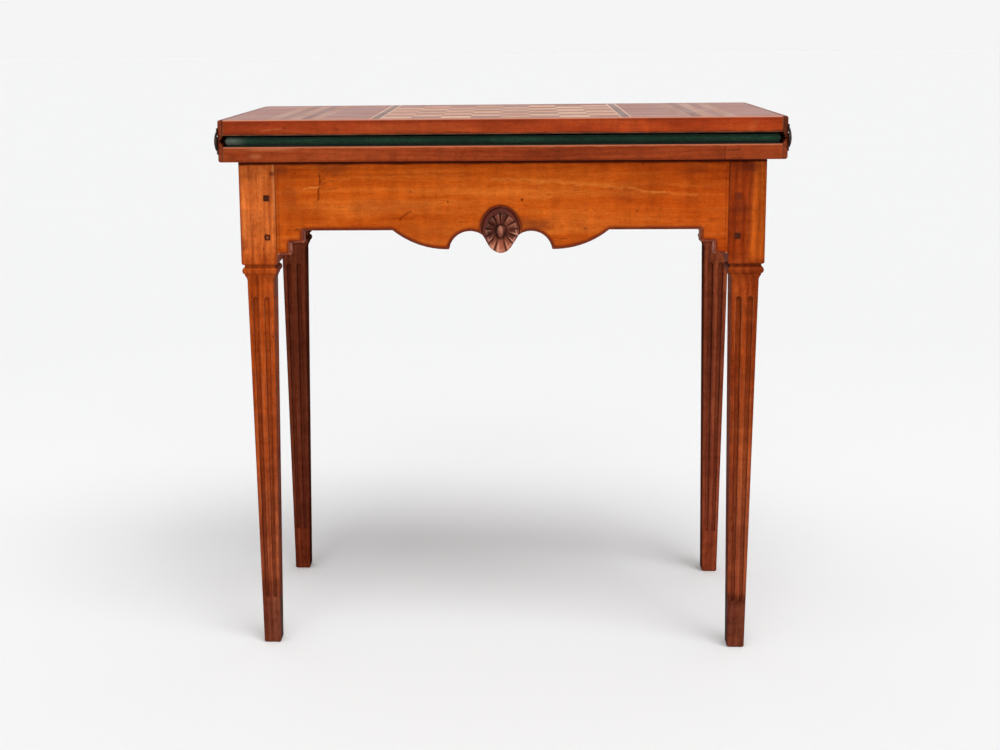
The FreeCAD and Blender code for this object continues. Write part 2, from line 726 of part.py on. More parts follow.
# ---------------------------------------------------------------- leaves
def rounded_slab(name, hw, z0, z1, outer_z):
    """Outline of one leaf: corners rounded in plan, arris rounded on the outer face."""
    slab = box(name + "_slab", neg(hw), hw, YF, YR, z0, z1)
    doc.recompute()
    rules = []
    for i, e in enumerate(slab.Shape.Edges, start=1):
        bb = e.BoundBox
        if bb.ZLength > 1 and bb.XLength < 1e-6 and bb.YLength < 1e-6:
            r = sheet.get("corner_rear") if bb.YMin > 0 else sheet.get("corner_front")
            rules.append((i, r, r))
    f1 = doc.addObject("Part::Fillet", name + "_corners")
    f1.Base = slab
    f1.Edges = rules
    doc.recompute()
    rules = []
    for i, e in enumerate(f1.Shape.Edges, start=1):
        bb = e.BoundBox
        if abs(bb.ZMin - outer_z) < 1e-4 and abs(bb.ZMax - outer_z) < 1e-4:
            rules.append((i, sheet.get("arris"), sheet.get("arris")))
    f2 = doc.addObject("Part::Fillet", name + "_arris")
    f2.Base = f1
    f2.Edges = rules
    doc.recompute()
    return f2


RW, RT = d("rim_w"), d("rim_tip")
PRX = HW - RW
PRY = YR - RW


def leaf_screw_holes(name, side, dz):
    s = 1 if side == "r" else -1
    out = []
    for j, dy in enumerate((d("hs_y1"), d("hs_y2"))):
        x = neg(HW + 8) if s < 0 else d("hscrew_in")
        out.append(cyl("%s_%s%d" % (name, side, j), d("hscrew_r"), HW + 8 - d("hscrew_in"), x, YH + dy, ZH + dz, "+X"))
    return out


def rims(tag, slab, hw, tip, face, outer, holes):
    """End and rear rim strips of one leaf: full leaf thickness, then bevelled to a narrow tip."""
    sec = [(hw, outer), (hw, tip), (hw - RT, tip), (PRX, face), (PRX, outer)]
    r_pad = pad_body(tag + "_end_strip", "XZ_Plane", sec, {}, d("top_d") + 20, 0, Y0, 0)
    right_rim = cut(tag + "_rim_r_drilled", common(tag + "_rim_r", slab, r_pad), holes)
    left_rim = mirror(tag + "_rim_l", right_rim, (1, 0, 0))
    sec = [(YR, outer), (YR, tip), (YR - d("rear_tip"), tip), (PRY, face), (PRY, outer)]
    # the rear strip is coped over the bevels of the end strips
    b_pad = pad_body(tag + "_rear_strip", "YZ_Plane", sec, {}, 2 * hw, 0, 0, 0)
    ends = group(tag + "_end_strips", [r_pad, mirror(tag + "_end_strip_l", r_pad, (1, 0, 0))])
    rear_rim = cut(tag + "_rim_b_coped", common(tag + "_rim_b", slab, b_pad), ends)
    return left_rim, right_rim, rear_rim


low_slab = rounded_slab("low", HW, Z0, ZH, Z0.v)
low_holes = group("low_holes", leaf_screw_holes("low_hole", "r", neg(d("hs_z"))))
low_holes_l = group("low_holes_l", leaf_screw_holes("low_hole", "l", neg(d("hs_z"))))
ll, lr, lb = rims("low", low_slab, HW, ZH - d("rim_play"), Z1, Z0, low_holes)
node(ll, "lower_rim_left")
node(lr, "lower_rim_right")
node(lb, "lower_rim_rear")
low_plain = common("low_board", low_slab, box("low_board_box", neg(PRX), PRX, YF - 1, PRY, Z0 - 1, Z1))
low_tool = group("low_cuts", [
    fuse("flange_seat", [
        cyl("flange_recess", d("flange_r"), d("flange_t"), PX, PY, Z0),
        pivot_screws,
    ]),
    cyl("stop_hole", d("stop_r"), d("stop_up"), SX, SY, Z0),
    low_holes,
    low_holes_l,
])
lower_board = node(cut("low_board_cut", low_plain, low_tool), "lower_leaf_board")

UHW = HW - d("end_play")
up_slab = rounded_slab("up", UHW, ZH, Z3, Z3.v)
up_holes = group("up_holes", leaf_screw_holes("up_hole", "r", d("hs_z")))
up_holes_l = group("up_holes_l", leaf_screw_holes("up_hole", "l", d("hs_z")))
ul, ur, ub = rims("up", up_slab, UHW, ZH + d("rim_play"), Z2, Z3, up_holes)
node(ul, "upper_rim_left")
node(ur, "upper_rim_right")
node(ub, "upper_rim_rear")
up_plain = common("up_board", up_slab, box("up_board_box", neg(PRX), PRX, YF - 1, PRY, Z2, Z3 + 1))

# ---------------------------------------------------------------- inlay
SQ = d("square")
IZ = Z3 - d("inlay_t")
BH = 4 * SQ
BY0 = YF + d("board_front")
IY0 = YF + d("inlay_edge")
IY1 = PRY - d("inlay_edge")
SW, BW = d("string_w"), d("band_w")
SL, SD = d("stripe_l"), d("stripe_d")
SX0 = HW - d("stripe_in")
pockets = [
    box("pocket_board", neg(BH), BH, BY0, BY0 + 8 * SQ, IZ, Z3 + 1),
    box("pocket_band_l", neg(BH + 2 * SW + BW), neg(BH), IY0, IY1, IZ, Z3 + 1),
    box("pocket_band_r", BH, BH + 2 * SW + BW, IY0, IY1, IZ, Z3 + 1),
    box("pocket_side_l", neg(SX0), neg(SX0 - 3 * SL - 2 * SD), IY0, IY1, IZ, Z3 + 1),
    box("pocket_side_r", SX0 - 3 * SL - 2 * SD, SX0, IY0, IY1, IZ, Z3 + 1),
]
pocket_tool = fuse("inlay_pockets", pockets)
up_cut_1 = cut("up_board_pocketed", up_plain, pocket_tool)
up_cut_2 = cut("up_board_drilled_r", up_cut_1, up_holes)
upper_board = node(cut("up_board_drilled", up_cut_2, up_holes_l), "upper_leaf_board")

light, dark = [], []
for col in range(8):
    for row in range(8):
        b = box(
            "square_%d%d" % (col, row),
            (col - 4) * SQ, (col - 3) * SQ,
            BY0 + row * SQ, BY0 + (row + 1) * SQ,
            IZ, Z3,
        )
        (light if (col + row) % 2 == 0 else dark).append(b)
node(group("light_squares_g", light), "board_squares_light")
node(group("dark_squares_g", dark), "board_squares_dark")


def strips(name, edges):
    out = []
    for j, (a, b) in enumerate(edges):
        out.append(box("%s_r%d" % (name, j), a, b, IY0, IY1, IZ, Z3))
        out.append(box("%s_l%d" % (name, j), neg(b), neg(a), IY0, IY1, IZ, Z3))
    return out


node(group("strings_g", strips("string", [(BH, BH + SW), (BH + SW + BW, BH + 2 * SW + BW)])), "board_strings_light")
node(group("bands_g", strips("band", [(BH + SW, BH + SW + BW)])), "board_bands_dark")
e0 = SX0 - 3 * SL - 2 * SD
node(group("stripes_l_g", strips("stripe_light", [
    (e0, e0 + SL),
    (e0 + SL + SD, e0 + 2 * SL + SD),
    (e0 + 2 * SL + 2 * SD, e0 + 3 * SL + 2 * SD),
])), "side_stripes_light")
node(group("stripes_d_g", strips("stripe_dark", [
    (e0 + SL, e0 + SL + SD),
    (e0 + 2 * SL + SD, e0 + 2 * SL + 2 * SD),
])), "side_stripes_dark")

# ---------------------------------------------------------------- baize
BT = d("baize_t")
node(box("low_cloth", neg(PRX - 1), PRX - 1, YF + 1, PRY - 1, Z1, Z1 + BT), "lower_baize")
node(box("up_cloth", neg(PRX - 1), PRX - 1, YF + 1, PRY - 1, Z2 - BT, Z2), "upper_baize")
roll_box = box("roll_box", neg(PRX - 1.5), PRX - 1.5, YF + 1.5, YF + 1.5 + d("roll_d"), Z1 + BT, Z2 - BT - 0.3)
doc.recompute()
rules = []
for i, e in enumerate(roll_box.Shape.Edges, start=1):
    bb = e.BoundBox
    if bb.XLength > 100:
        rules.append((i, sheet.get("roll_r"), sheet.get("roll_r")))
roll = doc.addObject("Part::Fillet", "roll_round")
roll.Base = roll_box
roll.Edges = rules
node(roll, "baize_fold_roll")

# ---------------------------------------------------------------- hinges
PT, PL, PH = d("plate_t"), d("plate_l"), d("plate_h")
# lower plate: eye round the axis, strap behind and below it on the end face
lp = fuse("low_plate_l", [
    cyl("low_eye", d("eye_r"), PT, neg(HW + PT), YH, ZH, "+X"),
    box("low_strap", neg(HW + PT), neg(HW), YH + 0.5, YH + PL, ZH - PH, ZH - 1.0),
])
screw_low_holes = group("low_plate_holes", [
    cyl("low_eye_hole", d("hpin_r"), PT + 2, neg(HW + PT + 1), YH, ZH, "+X"),
    low_holes_l,
])
hl = node(cut("low_plate_cut", lp, screw_low_holes), "hinge_lower_left")
node(mirror("low_plate_r", hl, (1, 0, 0)), "hinge_lower_right")
# upper plate: strap on the upper end face, cranked outwards to a domed, almond-shaped boss outside the lower eye
XI = HW - d("end_play")
XO = HW + PT + d("plate_gap")
BL, BW, BH = d("boss_l"), d("boss_w"), d("boss_h")
SAG = BH - d("boss_tip")
RV = (BL * BL + BW * BW) / (2 * BW)
RB = (BL * BL + SAG * SAG) / (2 * SAG)
almond = common(
    "boss_almond",
    cyl("boss_back", RV, BH + 2, neg(XO + BH + 2), YH + RV - BW, ZH, "+X"),
    cyl("boss_fore", RV, BH + 2, neg(XO + BH + 2), YH - RV + BW, ZH, "+X"),
)
boss = common("boss_domed", almond, cyl("boss_dome", RB, 40.0, neg(XO + BH) + RB, YH - 20.0, ZH, "+Y"))
up = fuse("up_plate_l", [
    boss,
    box("up_strap", neg(XO), neg(XI), YH + 0.5, YH + PL, ZH + d("eye_clear"), ZH + PH),
])
up_holes_tool = group("up_plate_holes", [
    cyl("up_eye_hole", d("hpin_r") + d("hpin_play"), BH + 2, neg(XO + BH + 1), YH, ZH, "+X"),
    up_holes_l,
])
hu = node(cut("up_plate_cut", up, up_holes_tool), "hinge_upper_left")
node(mirror("up_plate_r", hu, (1, 0, 0)), "hinge_upper_right")
# pins, riveted in the lower eyes, with a flat head outside the upper eyes
XH = XO + BH + d("plate_gap")
hp = node(fuse("hinge_pin_l", [
    cyl("hpin_shank", d("hpin_r"), XH - HW + 0.2, neg(XH + 0.2), YH, ZH, "+X"),
    cone("hpin_head", d("hhead_r") - 1.2, d("hhead_r"), d("hhead_t"), neg(XH + d("hhead_t")), YH, ZH, "+X"),
]), "hinge_pin_left")
node(mirror("hinge_pin_r", hp, (1, 0, 0)), "hinge_pin_right")


def hinge_screws(name, dz, face):
    out = []
    for j, dy in enumerate((d("hs_y1"), d("hs_y2"))):
        out.append(fuse("%s_%d" % (name, j), [
            cyl("%s_shank_%d" % (name, j), d("hscrew_r"), face - d("hscrew_in"), neg(face), YH + dy, ZH + dz, "+X"),
            cone("%s_head_%d" % (name, j), d("hshead_r") - 1.0, d("hshead_r"), d("hshead_t"), neg(face + d("hshead_t")), YH + dy, ZH + dz, "+X"),
        ]))
    g = group(name + "_l", out)
    return group(name + "_g", [g, mirror(name + "_r", g, (1, 0, 0))])


node(hinge_screws("low_screw", neg(d("hs_z")), HW + PT), "hinge_lower_screws")
node(hinge_screws("up_screw", d("hs_z"), XO), "hinge_upper_screws")

# ---------------------------------------------------------------- check and write
doc.recompute()
bad = []
for o in doc.Objects:
    if any(s in ("Invalid", "Error") for s in o.State):
        bad.append("%s: state %s" % (o.Label, o.State))
for o in NODES:
    sh = o.Shape
    if sh.isNull() or not sh.isValid():
        bad.append("%s: shape null or not valid" % o.Label)
    elif not sh.Solids or min(s.Volume for s in sh.Solids) <= 0:
        bad.append("%s: no solid, or one with no volume" % o.Label)
labels = [o.Label for o in NODES]
if len(set(labels)) != len(labels):
    bad.append("two sub-parts share a label")
if bad:
    raise RuntimeError("; ".join(bad))

os.makedirs("parts", exist_ok=True)
for o in NODES:
    o.Shape.exportStep(os.path.join("parts", o.Label + ".step"))
    print("%-24s solids %2d  volume %10.1f" % (o.Label, len(o.Shape.Solids), o.Shape.Volume))
print("nodes", len(NODES))
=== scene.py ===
"""Looks of the fold-over chess and card table: finishes, carved and soft pieces, floor, light and camera."""
import math

import bmesh
import bpy
import numpy as np
from mathutils import Matrix, Vector, noise as perlin


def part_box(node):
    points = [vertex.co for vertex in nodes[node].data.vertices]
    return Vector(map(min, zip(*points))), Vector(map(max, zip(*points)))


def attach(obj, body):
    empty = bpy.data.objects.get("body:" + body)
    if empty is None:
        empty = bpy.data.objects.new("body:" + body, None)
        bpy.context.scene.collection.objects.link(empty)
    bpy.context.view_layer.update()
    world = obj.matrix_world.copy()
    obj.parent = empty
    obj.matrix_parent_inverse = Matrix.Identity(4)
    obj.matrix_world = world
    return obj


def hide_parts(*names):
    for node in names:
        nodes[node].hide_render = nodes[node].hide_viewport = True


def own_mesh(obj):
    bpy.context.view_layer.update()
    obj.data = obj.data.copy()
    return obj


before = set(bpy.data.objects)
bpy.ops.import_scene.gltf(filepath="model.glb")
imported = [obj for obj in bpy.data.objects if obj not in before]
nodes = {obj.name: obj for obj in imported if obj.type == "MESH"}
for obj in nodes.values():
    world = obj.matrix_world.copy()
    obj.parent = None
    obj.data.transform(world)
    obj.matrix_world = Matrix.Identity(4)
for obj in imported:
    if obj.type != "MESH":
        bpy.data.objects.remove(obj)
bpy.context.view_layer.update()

scene = bpy.context.scene


# ------------------------------------------------------------------ shader helper
class Net:
    """Lays out the nodes of one material."""

    def __init__(self, name):
        self.mat = bpy.data.materials.new(name)
        self.mat.use_nodes = True
        self.tree = self.mat.node_tree
        self.tree.nodes.clear()
        out = self.tree.nodes.new("ShaderNodeOutputMaterial")
        self.bsdf = self.tree.nodes.new("ShaderNodeBsdfPrincipled")
        self.tree.links.new(self.bsdf.outputs[0], out.inputs[0])
        place = self.tree.nodes.new("ShaderNodeTexCoord")
        self.coord = place.outputs["Object"]
        self.facing = place.outputs["Normal"]

    def node(self, kind, **props):
        n = self.tree.nodes.new(kind)
        for k, v in props.items():
            setattr(n, k, v)
        return n

    def feed(self, socket, value):
        if isinstance(value, bpy.types.NodeSocket):
            self.tree.links.new(value, socket)
        elif isinstance(value, tuple) and len(value) == 3 and socket.type == "RGBA":
            socket.default_value = (*value, 1.0)
        else:
            socket.default_value = value

    def shader(self, **values):
        for k, v in values.items():
            self.feed(self.bsdf.inputs[k.replace("_", " ")], v)

    def math(self, op, a, b=0.0, clamp=False):
        n = self.node("ShaderNodeMath", operation=op, use_clamp=clamp)
        self.feed(n.inputs[0], a)
        self.feed(n.inputs[1], b)
        return n.outputs[0]

    def total(self, *pairs):
        """Weighted sum of sockets."""
        out = None
        for s, w in pairs:
            t = self.math("MULTIPLY", s, w)
            out = t if out is None else self.math("ADD", out, t)
        return out

    def vec(self, op, a, b=(0.0, 0.0, 0.0), c=None):
        n = self.node("ShaderNodeVectorMath", operation=op)
        self.feed(n.inputs[0], a)
        self.feed(n.inputs[1], b)
        if c is not None:
            self.feed(n.inputs[2], c)
        return n.outputs["Value"] if op in ("LENGTH", "DOT_PRODUCT", "DISTANCE") else n.outputs[0]

    def placed(self, v, scale=(1, 1, 1), move=(0, 0, 0), turn=(0, 0, 0)):
        n = self.node("ShaderNodeMapping")
        self.feed(n.inputs["Vector"], v)
        n.inputs["Location"].default_value = move
        n.inputs["Rotation"].default_value = turn
        n.inputs["Scale"].default_value = scale
        return n.outputs[0]

    def noise(self, v, scale=1.0, detail=2.0, rough=0.5, distort=0.0, colour=False):
        n = self.node("ShaderNodeTexNoise")
        self.feed(n.inputs["Vector"], v)
        n.inputs["Scale"].default_value = scale
        n.inputs["Detail"].default_value = detail
        n.inputs["Roughness"].default_value = rough
        n.inputs["Distortion"].default_value = distort
        return n.outputs["Color"] if colour else n.outputs[0]

    def cells(self, v, scale=1.0, feature="F1"):
        n = self.node("ShaderNodeTexVoronoi", feature=feature)
        self.feed(n.inputs["Vector"], v)
        n.inputs["Scale"].default_value = scale
        return n.outputs["Distance"]

    def remap(self, v, lo, hi, a=0.0, b=1.0, smooth=True):
        n = self.node("ShaderNodeMapRange", interpolation_type="SMOOTHSTEP" if smooth else "LINEAR")
        for i, x in enumerate((v, lo, hi, a, b)):
            self.feed(n.inputs[i], x)
        return n.outputs[0]

    def ramp(self, v, stops):
        n = self.node("ShaderNodeValToRGB")
        e = n.color_ramp.elements
        while len(e) < len(stops):
            e.new(0.5)
        for el, (p, c) in zip(e, stops):
            el.position = p
            el.color = (*c, 1.0)
        self.feed(n.inputs[0], v)
        return n.outputs[0]

    def mix(self, fac, a, b, mode="MIX"):
        n = self.node("ShaderNodeMix", data_type="RGBA", blend_type=mode)
        self.feed(n.inputs[0], fac)
        self.feed(n.inputs[6], a)
        self.feed(n.inputs[7], b)
        return n.outputs[2]

    def scale(self, v, gain):
        n = self.node("ShaderNodeVectorMath", operation="SCALE")
        self.feed(n.inputs[0], v)
        self.feed(n.inputs["Scale"], gain)
        return n.outputs[0]

    def split(self, v):
        n = self.node("ShaderNodeSeparateXYZ")
        self.feed(n.inputs[0], v)
        return n.outputs[0], n.outputs[1], n.outputs[2]

    def hollow(self, distance, samples=5):
        """1 in the open, towards 0 in corners and grooves."""
        n = self.node("ShaderNodeAmbientOcclusion", samples=samples, only_local=True)
        n.inputs["Distance"].default_value = distance
        return n.outputs["AO"]

    def ridge(self, distance, samples=5):
        """0 on flat faces, towards 1 at outer edges."""
        n = self.node("ShaderNodeAmbientOcclusion", samples=samples, only_local=True, inside=True)
        n.inputs["Distance"].default_value = distance
        return self.math("SUBTRACT", 1.0, n.outputs["AO"])

    def bump(self, height, strength, distance=0.001, normal=None):
        n = self.node("ShaderNodeBump")
        n.inputs["Strength"].default_value = strength
        n.inputs["Distance"].default_value = distance
        self.feed(n.inputs["Height"], height)
        if normal is not None:
            self.feed(n.inputs["Normal"], normal)
        self.tree.links.new(n.outputs[0], self.bsdf.inputs["Normal"])

    # marks that sit at fixed places on one board, in metres
    def spot(self, p, centre, size, soft=0.5, wobble=None):
        """1 inside an ellipsoid, fading out at its edge."""
        q = self.vec("DIVIDE", self.vec("SUBTRACT", p, centre), size)
        r = self.vec("LENGTH", q)
        if wobble is not None:
            r = self.math("ADD", r, wobble)
        return self.remap(r, 1.0 - soft, 1.0 + soft, 1.0, 0.0)

    def line(self, p, a, b, half, wobble=None):
        """1 along the straight stroke from a to b."""
        a, b = Vector(a), Vector(b)
        d = b - a
        rel = self.vec("SUBTRACT", p, tuple(a))
        t = self.math("MULTIPLY", self.vec("DOT_PRODUCT", rel, tuple(d)), 1.0 / d.length_squared, clamp=True)
        n = self.node("ShaderNodeVectorMath", operation="SCALE")
        n.inputs[0].default_value = tuple(d)
        self.feed(n.inputs["Scale"], t)
        dist = self.vec("LENGTH", self.vec("SUBTRACT", rel, n.outputs[0]))
        if wobble is not None:
            dist = self.math("ADD", dist, wobble)
        return self.remap(dist, half * 0.4, half, 1.0, 0.0)


def lin(r, g, b):
    """Linear colour of an sRGB triple 0-255."""
    f = lambda c: c / 12.92 if c <= 0.04045 else ((c + 0.055) / 1.055) ** 2.4
    return tuple(f(c / 255.0) for c in (r, g, b))


TURN = {"X": (0.0, 0.0, 0.0), "Y": (0.0, 0.0, -math.pi / 2), "Z": (0.0, math.pi / 2, 0.0)}


def wood_figure(net, grain, shift=(0.0, 0.0, 0.0), wave=0.010, ring=0.0075, pith=(0.05, -0.09), coord=None):
    """(tone 0-1, fine fibre 0-1, board coordinates): figure of a board whose fibres run along `grain`."""
    p = net.placed(coord or net.coord, turn=TURN[grain], move=shift)
    drift = net.vec("MULTIPLY", net.vec("SUBTRACT", net.noise(net.placed(p, (1.7, 5.0, 5.0)), 1.0, 2.0, colour=True), (0.5, 0.5, 0.5)), (0.0, 2 * wave, 2 * wave))
    curl = net.vec("MULTIPLY", net.vec("SUBTRACT", net.noise(net.placed(p, (16.0, 34.0, 34.0), (2.0, 5.0, 1.0)), 1.0, 2.0, colour=True), (0.5, 0.5, 0.5)), (0.0, 0.006, 0.006))
    q = net.vec("ADD", net.vec("ADD", p, drift), curl)
    bands = net.remap(net.noise(net.placed(q, (1.5, 22.0, 22.0)), 1.0, 3.0, 0.55), 0.30, 0.70, smooth=False)
    streaks = net.remap(net.noise(net.placed(q, (6.0, 150.0, 150.0)), 1.0, 3.0, 0.6), 0.28, 0.72, smooth=False)
    fibres = net.remap(net.noise(net.placed(q, (26.0, 900.0, 900.0)), 1.0, 2.0, 0.6), 0.28, 0.72, smooth=False)
    _, y, z = net.split(q)
    r = net.vec("LENGTH", net.vec("MULTIPLY", net.vec("SUBTRACT", q, (0.0, pith[0], pith[1])), (0.0, 1.0, 1.0)))
    rings = net.math("SINE", net.math("MULTIPLY", r, 2 * math.pi / ring))
    rings = net.remap(rings, -1.0, 1.0, smooth=False)
    return (bands, streaks, fibres, rings), q


def wood(name, grain, dark, mid, light, contrast=1.0, weights=(0.48, 0.28, 0.10, 0.14), shift=(0.0, 0.0, 0.0), wave=0.010, ring=0.0075,
         pith=(0.05, -0.09), stain=(0.30, 0.10, 0.05), stain_amount=0.35, edge=None, edge_amount=0.5, edge_width=0.0022, dirt_and_shade=(0.05, 0.018, 0.010), dirt_and_shade_amount=0.75,
         dirt_and_shade_width=0.006, rough=(0.36, 0.54), spec=0.20, bump=0.35, base=None, extra=None, patches=0.25, coord=None, fleck_from=0.80, mottle=0.09, dirt_and_shade_range=(0.35, 0.95), edge_noise=(0.36, 0.62), line=None, keep=None):
    """Old polished wood: soft bands, streaks and fibres, handling stains, tinted edges (wear, and painted shade and
    bounce light on the aprons), dirt and painted shade in the corners.
    """
    net = Net(name)
    if coord is not None:
        coord = coord(net)
    (bands, streaks, fibres, rings), q = wood_figure(net, grain, shift, wave, ring, pith, coord)
    tone = net.total((bands, weights[0]), (streaks, weights[1]), (fibres, weights[2]), (rings, weights[3]))
    tone = net.remap(tone, 0.5 - 0.5 / contrast, 0.5 + 0.5 / contrast, smooth=False)
    colour = net.ramp(tone, [(0.08, dark), (0.48, mid), (0.92, light)])
    if base is not None:
        colour = base(net, colour, tone)
    # slow mottling across the board and greyer, browner handled patches
    cloud = net.noise(net.placed(q, (5.0, 11.0, 11.0), (3.1, 1.7, 0.4)), 1.0, 4.0, 0.6)
    colour = net.mix(net.remap(cloud, 0.46, 0.74, 0.0, stain_amount), colour, stain, "MULTIPLY")
    colour = net.mix(net.remap(cloud, 0.22, 0.46, patches, 0.0), colour, light)
    # shimmer across the grain and fine speckle
    ripple = net.noise(net.placed(q, (75.0, 10.0, 10.0), (5.0, 3.0, 9.0)), 1.0, 2.0, 0.6)
    speck = net.noise(net.placed(q, (240.0, 420.0, 420.0)), 1.0, 2.0, 0.7)
    blotch = net.noise(net.placed(q, (70.0, 120.0, 120.0), (1.0, 8.0, 3.0)), 1.0, 4.0, 0.65)
    gain = net.total((net.remap(ripple, 0.30, 0.70, -mottle, mottle, smooth=False), 1.0), (net.remap(speck, 0.30, 0.70, -mottle, mottle, smooth=False), 0.9),
                     (net.remap(blotch, 0.30, 0.70, -mottle, mottle, smooth=False), 1.1))
    dust = net.noise(net.placed(q, (520.0, 800.0, 800.0)), 1.0, 1.0, 0.6)
    gain = net.math("ADD", gain, net.remap(dust, 0.30, 0.70, -0.6 * mottle, 0.6 * mottle, smooth=False))
    colour = net.scale(colour, net.math("ADD", gain, 1.0))
    colour = net.mix(net.remap(blotch, 0.52, 0.30, 0.0, 0.5), colour, (1.0, 0.84, 0.78), "MULTIPLY")
    # pores and small dark flecks
    pore = net.noise(net.placed(q, (60.0, 1500.0, 1500.0)), 1.0, 1.0)
    colour = net.mix(net.remap(pore, 0.60, 0.74, 0.0, 0.40), colour, dark, "MULTIPLY")
    fleck = net.noise(net.placed(q, (90.0, 210.0, 210.0), (7.0, 2.0, 5.0)), 1.0, 0.0)
    colour = net.mix(net.remap(fleck, fleck_from, fleck_from + 0.08, 0.0, 0.5), colour, dirt_and_shade)
    if extra is not None:
        colour = extra(net, colour, tone)
    # dirt and painted shade in corners and grooves, and edges tinted towards the edge colour: pale wear on most boards,
    # darker on the legs
    grime_and_shade_noise = net.noise(net.coord, 55.0, 3.0, 0.6)
    shade = net.math("MULTIPLY", net.remap(net.hollow(dirt_and_shade_width), dirt_and_shade_range[0], dirt_and_shade_range[1], 1.0, 0.0), net.remap(grime_and_shade_noise, 0.25, 0.65, 0.55, 1.0))
    colour = net.mix(net.math("MULTIPLY", shade, dirt_and_shade_amount(net) if callable(dirt_and_shade_amount) else dirt_and_shade_amount), colour, dirt_and_shade)
    if edge is not None:
        near = net.ridge(edge_width, 10 if line else 5)
        grit = net.remap(net.noise(net.coord, 38.0, 4.0, 0.65), edge_noise[0], edge_noise[1])
        if line is not None:
            # a painted shade line a little inside the edge, and a pale band of painted bounce light on the arris where
            # the edge is free
            free = keep(net)
            colour = net.mix(net.math("MULTIPLY", net.remap(near, 0.015, 0.075), net.remap(free, 0.0, 1.0, 0.10, 0.88, smooth=False)), colour, line)
            ridge_paint = net.math("MULTIPLY", net.remap(near, 0.30, 0.42), net.math("MULTIPLY", grit, free))
        else:
            ridge_paint = net.math("MULTIPLY", net.remap(near, 0.12, 0.55), grit)
        colour = net.mix(net.math("MULTIPLY", ridge_paint, edge_amount), colour, edge)
    net.shader(Base_Color=colour)
    wipe = net.noise(net.placed(q, (9.0, 30.0, 30.0), (0.3, 4.0, 2.0)), 1.0, 3.0, 0.6)
    net.shader(Roughness=net.total((net.remap(wipe, 0.30, 0.70, rough[0], rough[1]), 1.0), (shade, 0.15), (pore, 0.05)))
    net.shader(Specular_IOR_Level=spec, Specular_Tint=(1.0, 0.62, 0.32, 1.0), IOR=1.48)
    wear = net.noise(net.coord, 210.0, 3.0, 0.6)
    net.bump(net.total((fibres, 0.35), (streaks, 0.45), (pore, -0.5), (wear, 0.35), (net.noise(net.coord, 24.0, 2.0), 1.4)), bump, 0.0006)
    return net.mat


def dress(material, *names):
    for n in names:
        o = nodes[n]
        o.data.materials.clear()
        o.data.materials.append(material)


def soften(width, segments, *names, angle=32.0):
    """Rounds the arrises of CAD pieces a little, as scraping and handling do."""
    for n in names:
        o = nodes[n]
        w = o.modifiers.new("join", "WELD")
        w.merge_threshold = 1e-5
        d = o.modifiers.new("flat", "DECIMATE")
        d.decimate_type = "DISSOLVE"
        d.angle_limit = math.radians(0.4)
        b = o.modifiers.new("arris", "BEVEL")
        b.width = width
        b.segments = segments
        b.limit_method = "ANGLE"
        b.angle_limit = math.radians(angle)
        b.use_clamp_overlap = True
        b.miter_outer = "MITER_ARC"
        k = o.modifiers.new("light", "WEIGHTED_NORMAL")
        k.weight = 60
        k.keep_sharp = False


# ------------------------------------------------------------------ wood finishes
ORANGE = dict(dark=lin(146, 56, 11), mid=lin(187, 81, 16), light=lin(204, 105, 35))
LEG = dict(dark=lin(112, 40, 12), mid=lin(160, 66, 20), light=lin(190, 91, 37))
LEG_RIGHT = dict(dark=lin(92, 32, 10), mid=lin(132, 51, 17), light=lin(166, 74, 28))
LEAF_UP = dict(dark=lin(113, 33, 9), mid=lin(150, 51, 17), light=lin(172, 73, 31))
LEAF_LOW = dict(dark=lin(98, 31, 9), mid=lin(133, 47, 16), light=lin(157, 68, 30))


def joints_dark(net, colour, at, half=0.0011, low=0.35):
    """Dark glue line where two boards meet, at the same distance left and right of the middle."""
    x, _, _ = net.split(net.coord)
    d = net.math("ABSOLUTE", net.math("SUBTRACT", net.math("ABSOLUTE", x), at))
    return net.mix(net.remap(d, half * 0.4, half, 1.0 - low, 0.0), colour, lin(52, 18, 8))


def painted_shadow_under_leaf(net, colour):
    """Painted shadow along the top of the frame, under the overhanging leaf: a soft darkening and a dark line at the
    very top.
    """
    _, _, z = net.split(net.coord)
    rag = net.math("MULTIPLY", net.math("SUBTRACT", net.noise(net.placed(net.coord, (40.0, 40.0, 1.0)), 1.0, 3.0), 0.5), 0.003)
    z = net.math("ADD", z, rag)
    colour = net.mix(net.remap(z, 0.690, 0.708, 0.0, 0.22), colour, (0.62, 0.50, 0.45), "MULTIPLY")
    return net.mix(net.remap(z, 0.7026, 0.7056, 0.0, 0.95), colour, lin(52, 12, 6))


def painted_edge_shade(net, colour, axis, amount=0.85, dark=lin(92, 36, 22)):
    """Painted shade on everything that doesn't face outward, such as the bevel and the sawn lower edge, with paler
    painted bounce light from the floor on the steps.
    """
    facing = net.math("ABSOLUTE", net.vec("DOT_PRODUCT", net.facing, axis))
    rag = net.noise(net.coord, 70.0, 3.0, 0.6)
    m = net.math("MULTIPLY", net.remap(facing, 0.96, 0.80), net.remap(rag, 0.25, 0.6, 0.65, 1.0))
    x, _, _ = net.split(net.coord)
    pale = net.math("MULTIPLY", net.remap(net.noise(net.coord, 34.0, 3.0, 0.6), 0.34, 0.50), net.remap(net.math("ABSOLUTE", x), 0.265, 0.285, 0.62, 0.85) if axis[1] else 0.4)
    tone = net.mix(pale, dark, net.mix(net.remap(net.math("ABSOLUTE", x), 0.265, 0.285), lin(172, 102, 78), lin(214, 138, 106)) if axis[1] else lin(170, 100, 76))
    return net.mix(net.math("MULTIPLY", m, amount), colour, tone)


